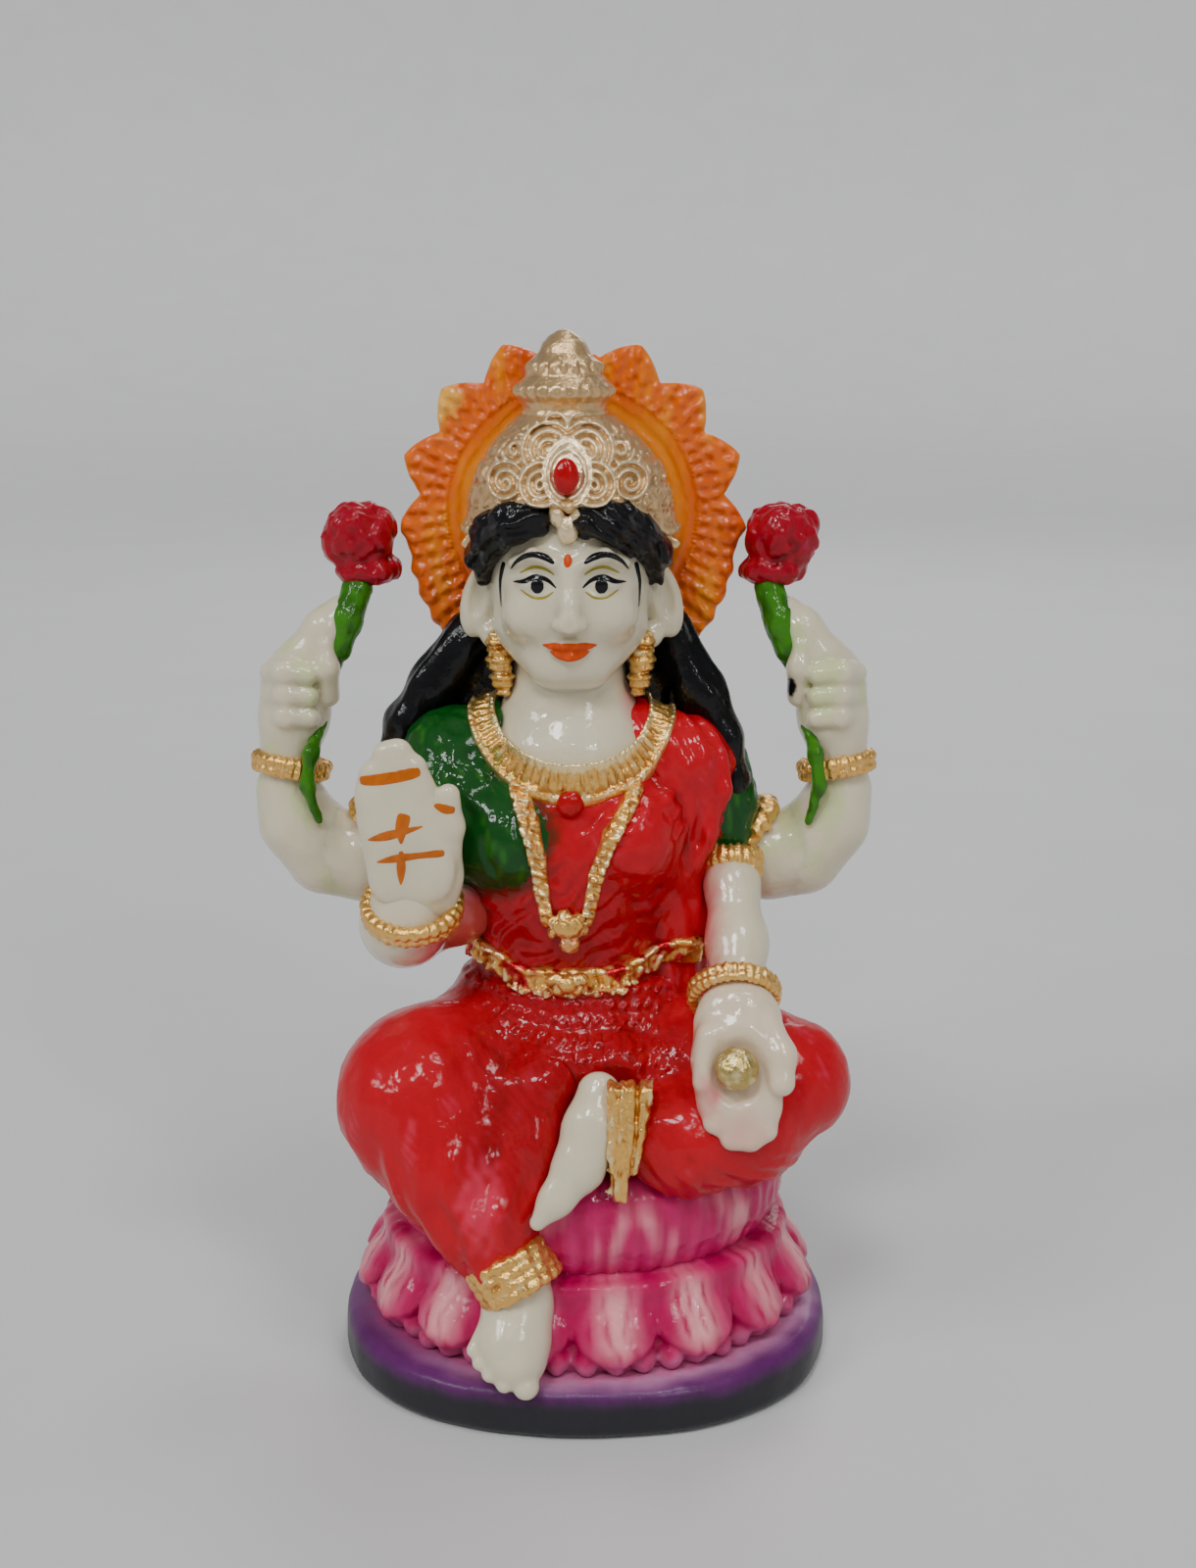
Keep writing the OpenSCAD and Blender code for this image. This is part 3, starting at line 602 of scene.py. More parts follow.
def lap(P):
    body = stack(P, at("lap_drape", (0, 0.5, -11.5, 18, 13), (0, 0.4, -6, 20, 14.6), (0, -0.3, -1, 20, 14.6),
                       (0, -0.8, 4, 18, 13.2), (0, -1.2, 7.4, 15.4, 11.6), (0, -1.6, 10.4, 13.6, 10)))
    hem = limb(P, at("lap_drape", (-9, -11.6, -1, 3.2), (-2, -13.4, 1.4, 3.0), (6, -13.8, 1.8, 3),
                     (12, -12.4, 1.2, 3)), 2)
    front = smooth(-P[:, 1], 3, 8)
    return melt(body, hem, 3.5) - 0.48 * front * dashes(P, 1.1, 2.4) - 0.12 * folds(P, (1, 0, 0.2), 5.5, 1.5)


def right_leg(P):
    thigh = limb(P, at("right_leg_drape", (6.8, 6.9, 8, 8.7), (-0.2, 3, 7.4, 9.1), (-5.4, -0.6, 6.4, 9.3),
                       (-7.0, -2, 5.4, 8.6)), 2)
    shin = limb(P, at("right_leg_drape", (-7.0, -2, 5, 8.7), (-3.0, -6.2, -1.2, 7.4), (0.9, -9, -7, 5.7),
                      (3.6, -10.6, -11.5, 4.6)), 2)
    web = limb(P, at("right_leg_drape", (8.3, -5.0, 8, 4.4), (7.2, -7, 1, 4.4), (6.0, -9.2, -5, 3.3)), 2)
    long_folds = folds(P, (1, -0.4, 0.35), 4.2, 1.6) * smooth(-P[:, 2], -40, -30)
    return melt_all([thigh, shin, web], 4.5) - 0.28 * long_folds - 0.25 * noise(P, 6) - 0.07 * noise(P, 1.6)


def left_leg(P):
    knee = at("left_leg_drape", (11, 0, 2))
    thigh = limb(P, at("left_leg_drape", (-11.5, 5.3, 2.2, 8.4), (-2.5, 2.8, 1.9, 8.8), (5, 0.8, 1.9, 8.2),
                       (10.3, -0.2, 1.8, 6.8)), 2)
    shin = limb(P, at("left_leg_drape", (9.3, -1.1, 0.7, 6.9), (3.5, -5.1, -2.1, 7.5),
                      (-3.5, -7.7, -2.9, 6.8), (-9.5, -8.1, -1.9, 5)), 2)
    around = np.hypot((P[:, 0] - knee[0]) * 0.8, P[:, 2] - knee[2]) + 0.8 * noise(P, 5)
    arcs = np.sin(around * 2 * math.pi / 1.9) * smooth(-P[:, 2], -38, -31)
    return melt(thigh, shin, 3) - 0.2 * arcs - 0.2 * noise(P, 6) - 0.07 * noise(P, 1.6)


def torso(P):
    body = stack(P, at("torso", (-1.3, 1.9, -19, 12.6, 9.2), (-1.3, 1.7, -15, 12.7, 9.2),
                       (-1.3, 1.3, -12, 12.4, 9), (-1.3, 0.7, -6, 13.3, 9.6), (-1.3, 0.7, 0, 14.2, 10),
                       (-1.4, 1.3, 6, 15.2, 9.2), (-1.5, 2.1, 11, 15.8, 7.8), (-1.5, 2.5, 14.6, 13.6, 6.4),
                       (-1.4, 2.7, 17.4, 8.6, 5.6)))
    bust = egg(P, at("torso", (6.6, -4.2, 1.8)), (5.3, 6.2, 6.4))
    ruck = limb(P, at("torso", (10.6, -5.0, 6.5, 0.8), (11.6, -4.6, 2.5, 0.9), (10.6, -4.4, -2.4, 0.8)), 1)
    drape = folds(P, (0.75, 0, -1), 2.4, 1.3, 4) * smooth(noise(P, 3.5), -0.6, 0.4)
    return melt(melt(body + 0.4, bust, 1.8), ruck, 1.2) - 0.2 * drape - 0.1 * noise(P, 2.4)


def bodice(P):
    bust = egg(P, at("bodice", (4.4, -2.8, -3.4)), (6.4, 6.4, 6.6))
    side = egg(P, at("bodice", (-1.5, -0.6, -1.5)), (6.5, 6.4, 8.4))
    sleeve = limb(P, at("bodice", (3, 3.4, 6.6, 5.4), (-2.6, 3, 4.4, 6.1), (-6, 2.2, -1, 5.7),
                        (-7, 1.2, -7.4, 5)), 2)
    wrinkles = folds(P, (1, 0, 0.5), 2.2, 1.4, 4) * smooth(noise(P, 4), -0.5, 0.5)
    return melt(melt(bust, side, 3), sleeve, 3) - 0.22 * noise(P, 3.2) - 0.14 * wrinkles


def shoulder(P):
    fall = limb(P, at("shoulder_drape", (-5.4, 0.6, 15, 4.6), (0.2, 0.2, 12.2, 5.2), (-0.2, -0.4, 6.4, 4.2),
                      (-1.2, -0.2, 0, 4.0), (-0.9, 0.4, -8, 4.3), (-0.9, 0.8, -16, 4.7)), 2.5)
    border = limb(P, at("shoulder_drape", (4.2, -2.6, 13.6, 0.9), (4.4, -3.6, 9.6, 0.95),
                        (3.2, -3.9, 4.5, 0.9), (1.4, -3.9, 0.2, 0.85)), 1)
    pleats = folds(P, (1, 0.4, 0.2), 2.7, 1.0, 6)
    return melt(fall, border, 0.9) - 0.2 * pleats - 0.12 * noise(P, 2.4)


def left_sleeve(P):
    rows = at("left_sleeve", (-1.6, 0.2, 4.8, 4.5), (-0.4, -0.2, 0, 4.3), (-0.4, -1.0, -4.8, 3.9))
    return limb(P, rows, 2) - 0.2 * noise(P, 2.2) - 0.12 * folds(P, (1, 0, 0.6), 2.2, 1, 4)


CLOTH = {"lap_drape": lap, "right_leg_drape": right_leg, "left_leg_drape": left_leg, "torso": torso,
         "bodice": bodice, "shoulder_drape": shoulder, "left_sleeve": left_sleeve}


def red_colours(P, out, crease, ridge):
    """Lacquered red, worn pink in a few strokes, with painted shade in the folds, and darker over the lap."""
    streak = np.sin((P[:, 0] + 0.7 * P[:, 2] + 1.2 * noise(P, 6)) * 5.2 + 2 * noise(P, 3))
    patch = smooth(noise(P * (1.3, 1, 0.6), 4) + 0.4 * noise(P, 1.2) + 0.25 * streak, 0.6, 1.6)
    colour = blend(RED, WORN, 0.6 * patch)
    lap_middle = at("lap_drape", (0, -8, 4))
    inner = smooth(-length((P - lap_middle) * (1, 0.3, 0.6)) + 2 * noise(P, 4), -17, -8)
    colour = blend(colour, DEEP_RED, inner * (0.4 + 0.25 * smooth(streak, 0, 1)))
    # Painted shade: darker red in the folds.
    colour = blend(colour, DEEP_RED, 0.7 * smooth(crease, 0.12, 0.6))
    low = at("right_leg_drape", (1.6, -12.6, -3.5))
    worn = smooth(-length((P - low) * (1, 0.6, 0.55)) + 1.2 * noise(P, 1.5), -3.6, -1)
    return blend(colour, WORN, 0.8 * worn)


def torso_colours(P, out, crease, ridge):
    colour = red_colours(P, out, crease, ridge)
    near_green = smooth(-bodice(P) + 0.5 * noise(P, 1.5), -2.2, 0.2)
    return blend(colour, DEEP_GREEN, 0.8 * near_green)


def green_colours(P, out, crease, ridge):
    """Deep green in brighter strokes, with painted shade in the creases, and the sari's red spread over the
    hem by the waist.
    """
    stroke = noise(P * (1.4, 1, 0.5), 1.5)
    colour = blend(GREEN, LIME, 0.5 * smooth(stroke + 0.8 * noise(P, 5), 0.3, 1.2))
    # Painted shade: deeper green in the creases.
    colour = blend(colour, DEEP_GREEN, 0.7 * smooth(crease, 0.12, 0.6))
    q = P - at("bodice", (0, 0, -9.6))
    hem = smooth(0.22 * q[:, 0] - q[:, 2] + 0.7 * noise(P, 2), 0, 2) * smooth(-q[:, 0], -14, -11)
    return blend(colour, DEEP_RED, 0.85 * hem)


# ---- Skin ----

def neck(P):
    return stack(P, at("neck_and_chest", (0, -0.1, -9.4, 5.4, 5.4), (0, 0, -5.6, 8.6, 8),
                       (0, 0.5, -1, 10.2, 7.8), (0, 1, 2, 8.8, 7), (0, 1.3, 5.4, 7, 6.4),
                       (0, 1.5, 9.4, 6.5, 6.2), (0, 1.6, 13, 6.6, 6.2)))


def chest(P):
    plump = egg(P, at("neck_and_chest", (0, -1.1, -3.8)), (8.4, 7, 6.2))
    return melt(neck(P), plump, 2.5)


def head(P):
    skull = egg(P, at("head", (0, 1.2, 2.4)), (9.6, 10.2, 11.4))
    face = egg(P, at("head", (0, -0.6, -2.2)), (8.5, 9.6, 9.9))
    chin = egg(P, at("head", (0, -6.2, -9.2)), (2.9, 2.7, 2.6))
    d = melt(melt(skull, face, 3), chin, 3.2)
    for s in (-1, 1):
        d = melt(d, limb(P, at("head", (s * 6.2, -1.6, -5.6, 2.6), (s * 2.6, -5.4, -9.6, 2.2)), 2), 2.5)
        d = melt(d, egg(P, at("head", (s * 4.8, -6.9, -3.2)), (2.8, 2.4, 2.6)), 2.2)
        d = carve(d, egg(P, at("head", (s * 3.8, -10.9, 1.1)), (2.7, 1.5, 1.5)), 1.2)
        d = melt(d, egg(P, at("head", (s * 3.8, -7.9, 0.6)), (2.2, 1.7, 1.25)), 0.5)
        d = melt(d, limb(P, at("head", (s * 1.8, -9.9, 3.2, 0.5), (s * 4.2, -9.5, 4.1, 0.6),
                               (s * 6.6, -7.6, 3.0, 0.4)), 1), 1.6)
        d = melt(d, egg(P, at("head", (s * 1.25, -10.5, -3.9)), (0.85, 1.0, 0.75)), 0.6)
    nose = limb(P, at("head", (0, -9.6, 2.2, 0.75), (0, -10.6, -1.4, 0.95), (0, -11.5, -3.6, 1.15)), 1)
    d = melt(d, nose, 1.2)
    upper = limb(P, at("head", (-2.2, -9.1, -6.7, 0.4), (-0.7, -9.8, -6.35, 0.62), (0.7, -9.8, -6.35, 0.62),
                       (2.2, -9.1, -6.7, 0.4)), 0.5)
    lower = limb(P, at("head", (-1.6, -9.2, -7.5, 0.5), (0, -9.6, -7.8, 0.72), (1.6, -9.2, -7.5, 0.5)), 0.5)
    return melt(melt(d, upper, 0.5), lower, 0.4)


def ears(P):
    both = []
    for s in (-1, 1):
        c = at("ears", (s * 11.0, 0.4, 0.4))
        lean = turned("y", -s * 15)
        shell = egg(P, c, (2.3, 1.5, 4.9), lean)
        hollow = egg(P, c + np.array([s * 0.1, -1.5, 0.8], np.float32), (1.25, 1.0, 3.2), lean)
        shell = carve(shell, hollow, 0.4)
        inner = egg(P, c + np.array([-s * 0.9, -0.8, 0.2], np.float32), (0.6, 0.8, 1.9), lean)
        lobe = egg(P, at("ears", (s * 9.6, -0.6, -4.0)), (1.4, 1.1, 1.5))
        both.append(melt(melt(shell, inner, 0.5), lobe, 1.2))
    return np.minimum(*both)


def right_arm(P):
    n = "right_front_arm"
    fore = limb(P, at(n, (0.5, 5, 2, 4.6), (0.0, 2, -1.2, 4.8), (-0.3, -1.8, -1.4, 4.9),
                      (0.3, -4.2, -0.2, 4.6), (0.9, -4.6, 2.6, 4.2)), 2)
    inner = limb(P, at(n, (0.6, 0.6, -1.5, 4.6), (5.2, 3.4, -1.3, 4.4), (8.6, 6.0, -0.8, 4.2)), 1)
    return melt(fore, inner, 2)


def left_arm(P):
    return limb(P, at("left_front_arm", (-0.5, 4.4, 2.6, 2.9), (-0.4, 2.6, 1.4, 3.1), (0, -2.2, -4.6, 3.5),
                      (-0.2, -6.2, -8.4, 3.3)), 2)


def flat_fingers(P, node, rows, k, flat):
    """Fingers side by side: rows of (root x, root y, root z, tip x, tip y, tip z, radius)."""
    fingers = []
    for r in rows:
        middle = [(a + b) / 2 for a, b in zip(r[:3], r[3:6])]
        fingers.append(limb(P, at(node, (*r[:3], r[6]), (*middle, r[6]), (*r[3:6], r[6] * 0.86)), 1, flat))
    return melt_all(fingers, k)


def right_hand(P):
    n = "right_front_hand"
    rows = at(n, (0.2, 1, -9, 4.4), (0.1, 0, -5, 5.2), (-0.6, -0.6, 0.4, 5.3), (-1.9, -0.8, 4.4, 4.5))
    palm = limb(P, rows, 2, (1, 0.46, 1))
    each = ((0.8, -0.7, 3.4, 0.5, -1.1, 8.3, 1.5), (-1.2, -0.8, 4, -1.3, -1.2, 10.2, 1.6),
            (-3.1, -0.7, 3.6, -3.1, -1.1, 9.8, 1.55), (-4.8, -0.5, 2, -4.8, -0.9, 7.4, 1.4))
    fingers = flat_fingers(P, n, each, 1.5, (1, 0.8, 1))
    thumb = limb(P, at(n, (3.0, 0, -4, 2.3), (4.2, -0.6, 1, 1.7), (4.2, -1.0, 4.9, 1.35)), 1, (1, 0.8, 1))
    mound = egg(P, at(n, (2.4, -1.9, -3.8)), (2.4, 1.0, 3.6))
    heel = egg(P, at(n, (-2.8, -1.6, -4.4)), (2.2, 0.9, 3.6))
    return melt(melt_all([palm, fingers, mound, heel], 1.0), thumb, 0.5)


def left_hand(P):
    n = "left_front_hand"
    rows = at(n, (-0.3, 4.4, 7.6, 3.5), (-0.4, 1.6, 4.4, 4.8), (-0.4, -0.6, 0.6, 5.2), (-0.5, -2, -2.4, 4.8))
    palm = limb(P, rows, 2, (1, 0.56, 1))
    each = ((-3.4, -2.0, -2, -3.4, -3.7, -6.0, 1.55), (-1.3, -2.3, -3, -1.3, -4.0, -7.9, 1.6),
            (0.8, -2.3, -3, 0.9, -4.0, -8.1, 1.6), (2.9, -2.0, -2, 2.8, -3.7, -7.0, 1.5))
    fingers = flat_fingers(P, n, each, 1.3, (1, 0.8, 1))
    thumb = limb(P, at(n, (2.6, 0.4, 5, 2.0), (4.3, -2.0, 1.8, 1.8), (4.4, -3.6, -1.0, 1.6)), 1.2,
                 (1, 0.9, 1))
    rim = limb(P, at(n, (-3.9, -1.6, 4, 1.5), (-4.5, -3.2, -1.0, 1.4)), 1)
    hollow = egg(P, at(n, (-0.5, -4.8, 1.2)), (3.5, 3.1, 4.6))
    cupped = carve(melt_all([palm, rim, fingers], 1.3), hollow, 1.4)
    return melt(cupped, thumb, 0.4)


def right_foot(P):
    n = "right_foot"
    d = limb(P, at(n, (0.4, 2.4, 6.6, 3.8), (0.5, 1, 2.4, 3.9), (0, -1.4, -1.6, 4.1), (0.2, -2.4, -3.2, 3.4)),
             2, (1, 0.9, 1))
    toes = ((1.6, -4.2, -5.3, 1.6), (-0.9, -4.3, -4.8, 1.15), (-2.6, -3.8, -3.8, 1.1),
            (-3.8, -3.1, -2.7, 1.05), (-4.6, -2.3, -1.6, 0.95))
    for x, y, z, r in toes:
        d = melt(d, limb(P, at(n, (x * 0.55, y + 2.2, z + 3.2, r * 1.15), (x, y, z, r)), 0.5), 0.3)
    return d


def tucked_foot(P):
    return limb(P, at("tucked_foot", (3.0, 3, 6.4, 2.6), (2.2, 1, 2.6, 3.2), (0.6, -0.6, -1.6, 2.8),
                      (-2.0, -2, -5, 1.8), (-4.2, -2.8, -7.6, 1.0)), 2, (1, 0.7, 1))


def rear_arm(side, part):
    """The upper arm, forearm or fist of a raised rear arm; side is -1 for the figure's right."""
    name = {-1: "right", 1: "left"}[side] + "_rear_" + part
    s = side
    if part == "upper_arm":
        rows = at(name, (-s * 8.6, 0.3, 5, 4.5), (-s * 2.9, 0.3, -0.5, 4.8), (s * 3.6, -0.1, -3.5, 4.8),
                  (s * 8.3, -0.5, -1, 4.7))
        return lambda P: limb(P, rows, 2.5)
    if part == "forearm":
        rows = at(name, (-s * 2.3, 0.2, -5, 4.6), (s * 0.7, -0.2, 0, 4.4), (s * 1.8, -0.4, 4.2, 4))
        return lambda P: limb(P, rows, 2.5)

    def fist(P):
        wrist = limb(P, at(name, (s * 3.0, 0.5, -8.6, 3.7), (s * 2.6, 0.3, -5.6, 4.2)), 2)
        palm = egg(P, at(name, (s * 2.0, 0.6, -1.6)), (4.4, 3.8, 6), turned("y", s * 8))
        point = limb(P, at(name, (0, 0.2, 3.6, 3.1), (-s * 2, 0.5, 6.6, 2.5), (-s * 3.8, 1.2, 8.8, 1.9)), 1.5)
        d = melt_all([wrist, palm, point], 2)
        for i in range(3):
            drop = 2.7 * i
            d = melt(d, limb(P, at(name, (s * 4.6, -1.2, 1.4 - drop, 1.5), (s * 2.6, -3.4, 1.8 - drop, 1.5),
                                   (-s * 0.2, -3.2, 1.5 - drop, 1.3)), 1), 0.5)
        thumb = limb(P, at(name, (-s * 2.2, -0.8, -1.5, 1.5), (-s * 2.4, -2.2, 2.2, 1.4),
                           (-s * 2.2, -1.8, 5.0, 1.1)), 1)
        return melt(d, thumb, 0.5)

    return fist


def skin_colours(P, out, crease, ridge):
    colour = np.repeat(IVORY[None], len(P), 0)
    colour = blend(colour, SHADOWED, 0.45 * smooth(crease, 0.2, 0.8))
    return colour * (1 + 0.03 * noise(P, 4))[:, None]


def chest_colours(P, out, crease, ridge):
    colour = skin_colours(P, out, crease, ridge)
    right = at("neck_and_chest", (8.2, -1, 3))
    return blend(colour, BLUSH, 0.6 * smooth(-length(P - right), -4, -1.5))


def front_arm_colours(P, out, crease, ridge):
    """Ivory that the sari's red runs into, on the side next to the body."""
    colour = skin_colours(P, out, crease, ridge)
    body, wrist = at("torso", (-1.3, 0, 0)), at("right_front_arm", (0, 0, -2.5))
    near = np.abs(P[:, 0] - body[0]) + 0.6 * noise(P, 2)
    near = near + np.where(P[:, 0] < body[0], 1.1 * np.maximum(P[:, 2] - wrist[2], 0), 0)
    return blend(colour, blend(WORN, RED, smooth(-near, -16.6, -14.4)), 0.9 * smooth(-near, -20.2, -15.4))


def giving_hand_colours(P, out, crease, ridge):
    colour = blend(skin_colours(P, out, crease, ridge), tint(0.84, 0.56, 0.44), 0.3)
    tips = at("left_front_hand", (-0.6, -3, -7))
    edge = at("left_front_hand", (-4.2, -2, -2.5))
    by_tips = -length((P - tips) * (0.7, 0.4, 1)) + 0.8 * noise(P, 2)
    by_edge = -length((P - edge) * (1, 0.4, 0.6)) + 0.5 * noise(P, 1.5)
    colour = blend(colour, BLUSH, 0.45 * smooth(by_tips, -4.6, -0.6))
    return blend(colour, WORN, 0.7 * smooth(by_edge, -2.6, -0.5))


def rear_arm_colours(P, out, crease, ridge):
    colour = skin_colours(P, out, crease, ridge)
    colour = blend(colour, tint(0.52, 0.66, 0.24), 0.5 * smooth(noise(P, 6) + 0.3 * noise(P, 2), 0.15, 0.8))
    dab = at("left_rear_hand", (-3.4, -3, -0.2))
    return blend(colour, BLACK, smooth(-length((P - dab) * (1.5, 0.3, 0.8)) + 0.2 * noise(P, 1), -1.2, -0.9))


# ---- Hair ----

def back_hair(P):
    rows = at("back_hair", (1.2, 5.7, -24.5, 4.6, 2), (1.2, 5.1, -18.5, 9, 3), (1, 3.9, -10.5, 14, 4.2),
              (0.4, 2.7, -4.5, 19.4, 4.4), (0, 1.7, -0.5, 20.8, 4.2), (0.6, 1.3, 3.5, 16.4, 4.6),
              (1.2, 1.2, 7.5, 12.8, 4.8), (1.4, 0.6, 12, 11.2, 5.4), (1.4, 0, 17, 11.2, 6.4),
              (1.4, -1.7, 21, 11.6, 8.6), (1.4, -2.5, 24.5, 10.6, 9))
    mid = rows[-1]
    turn = np.arctan2(P[:, 1] - mid[1] - 6, P[:, 0] - mid[0])
    strands = np.sin(turn * 34 + 1.6 * noise(P, 8)) * (0.7 + 0.4 * noise(P, 3))
    left = limb(P, at("back_hair", (13.5, -1.4, 11, 3), (17.6, -3.2, 4, 2.6), (20.6, -4.8, -1.5, 2.0),
                      (21.6, -5.4, -6.5, 1.6), (21.6, -4.6, -10.5, 0.9)), 1.5)
    right = limb(P, at("back_hair", (-11, -1.4, 11, 3), (-15.6, -2.6, 5, 2.8), (-19.4, -3, 0, 2.2),
                       (-21, -2, -3.5, 1.4)), 1.5)
    return melt_all([stack(P, rows), left, right], 2) - 0.25 * strands - 0.25 * noise(P, 4)


# The two locks over the forehead, each from its inner end down to the temple
LOCKS = (((-3.8, -3.5, 4.0, 1.9), (-6.6, -2.7, 3.3, 2.3), (-9.0, 0.2, 1.7, 2.4), (-10.2, 2.6, -0.8, 2.0),
          (-10.2, 3.6, -3.8, 1.0)),
         ((2.0, -4.0, 3.8, 1.9), (5.0, -3.4, 3.7, 2.3), (7.8, -0.8, 2.1, 2.4), (9.9, 2.3, -0.4, 2.1),
          (10.2, 3.6, -3.6, 1.0)))


def front_hair(P):
    d = np.minimum(*[limb(P, at("front_hair", *lock), 1.5) for lock in LOCKS])
    mid = at("front_hair", (0, 0, -6))
    around = np.hypot(P[:, 0] - mid[0], P[:, 2] - mid[2]) + 0.25 * P[:, 0]
    waves = np.sin(around * 3.4 + 1.2 * noise(P, 2.6))
    return d - 0.22 * waves - 0.15 * noise(P, 1.6)


# ---- Crown and halo ----

def dome_surface(P):
    rows = at("crown_dome", (0, 0.4, -8.2, 12.3, 11.8), (0, 0.1, -4.5, 12.45, 12.2), (0, -0.1, -1, 12, 12),
              (0, -0.2, 2.4, 10.9, 11), (-0.2, -0.2, 5.2, 8.8, 9), (-0.5, -0.2, 8.4, 5.7, 5.9))
    return stack(P, rows)


def feathered(x, z, size):
    """Overlapping fans of fine curved feathers, in rows: their relief from -1 to 1."""
    best, relief = np.full(len(x), 9.0), np.zeros(len(x))
    row = np.floor(z / size)
    for step in (0, -1):
        for aside in (-1, 0, 1):
            line = row + step
            shift = 0.5 * size * np.mod(line, 2)
            centre = (np.round((x - shift) / size) + aside) * size + shift
            away = np.hypot(x - centre, z - line * size)
            turn = np.arctan2(x - centre, z - line * size)
            here = (away < size * 1.02) & (-line < best)
            value = np.cos(turn * 7) * smooth(-away, -size, -size * 0.86) * smooth(away, 0.2, 0.8)
            value = np.where(away > size * 0.86, 1.0, value)
            relief = np.where(here, value, relief)
            best = np.where(here, -line, best)
    return relief


def crown_dome(P):
    mid = at("crown_dome", (0, 0, 0))
    x, y, z = (P - mid).T
    under = dome_surface(P)
    rim = np.where(y > 0, -7.6, -1.3 - 4.2 * smooth(np.abs(x), 5.5, 12) - 0.8 * np.exp(-(x / 1.4) ** 2))
    d = rounded_both(under, rim - z, 0.4)
    line = np.hypot(under, z - rim - 0.6) - 0.6
    around = np.arctan2(x, -y)
    relief = feathered(around * 11.5 + 0.3 * noise(P, 3), z + 8 + 0.3 * noise(P, 3), 2.9)
    d = d - 0.22 * relief * smooth(-z, -8.2, -6.5) - 0.1 * noise(P, 0.9)
    beads = 0.25 * np.cos(around * 40) * np.exp(-((z - rim - 0.6) / 0.7) ** 2)
    return melt(d, line, 0.3) - beads


# Feathers of the crest, nearest first: centre out, centre up, radius
FANS = ((3.0, -2.6, 2.8), (7.2, -2.3, 2.4), (2.3, 1.2, 3.3), (6.1, 1.2, 2.9), (1.6, 4.0, 2.4),
        (4.3, 4.0, 2.3))


def crown_crest(P):
    """Rows of round feathers round a framed drop, the nearer ones over the farther."""
    mid = at("crown_crest", (0, 0, 0))
    x, y, z = (P - mid).T
    swirl, taken = np.zeros(len(P)), np.zeros(len(P), bool)
    edge = np.full(len(P), 9.0)
    for out, up, r in FANS:
        far = np.hypot(np.abs(x) - out, z - up)
        curl = 0.5 * np.arctan2(z - up, np.abs(x) - out)
        here = (far < r) & ~taken
        swirl = np.where(here, np.cos((r - far + 0.3 * curl) * 2 * math.pi / 0.95 - 2.4), swirl)
        taken |= here
        edge = np.minimum(edge, far - r)
    plate = rounded_both(dome_surface(P) - 0.5, np.maximum(np.maximum(edge, -5.3 - z), y - 3), 0.35)
    drop = np.hypot(x / 0.8, (z + 1.3) * (1 - 0.12 * smooth(z, 0, 3)))
    swirl = np.where(drop < 3.7, 0, swirl)
    frames = np.exp(-((drop - 2.6) / 0.26) ** 2) + 0.7 * np.exp(-((drop - 3.5) / 0.22) ** 2)
    bud = np.exp(-((np.hypot(x / 0.8, z - 4.6) - 0.2) / 0.6) ** 2)
    rim = np.exp(-((z + 4.7) / 0.3) ** 2)
    return plate - 0.38 * swirl - 0.4 * frames - 0.35 * bud - 0.3 * rim - 0.1 * noise(P, 0.9)


def crown_finial(P):
    c = at("crown_finial", (0, 0, 0))
    r = np.hypot(P[:, 0] - c[0], P[:, 1] - c[1])
    z = P[:, 2] - c[2]
    turn = np.arctan2(P[:, 1] - c[1], P[:, 0] - c[0])
    heights = (-5, -4.2, -3.4, -2.6, -1.6, -0.9, -0.3, 0.4, 1.1, 1.7, 2.3, 2.8, 3.4, 4.2, 4.8, 5)
    widths = (5.3, 5.0, 5.2, 5.9, 5.9, 5.2, 4.6, 4.5, 4.4, 3.7, 3.1, 2.9, 2.6, 1.8, 0.9, 0.2)
    side = (r - np.interp(z, heights, widths)) * 0.8
    low = np.cos(turn * 24) * np.exp(-((z + 2.1) / 0.6) ** 2)
    high = np.cos(turn * 20) * np.exp(-((z - 0.7) / 0.45) ** 2)
    return np.maximum(side, np.abs(z) - 5) - 0.2 * (low + high) - 0.07 * noise(P, 1)


def crown_drop(P):
    n = "crown_drop"
    drop = egg(P, at(n, (0, 0.1, -0.7)), (1.3, 1.0, 1.6))
    petals = [egg(P, at(n, (s * 1.15, 0.2, 0.9)), (1.0, 0.9, 1.4), turned("y", s * 20)) for s in (-1, 1)]
    return melt_all([drop, *petals], 0.25) - 0.06 * noise(P, 0.7)


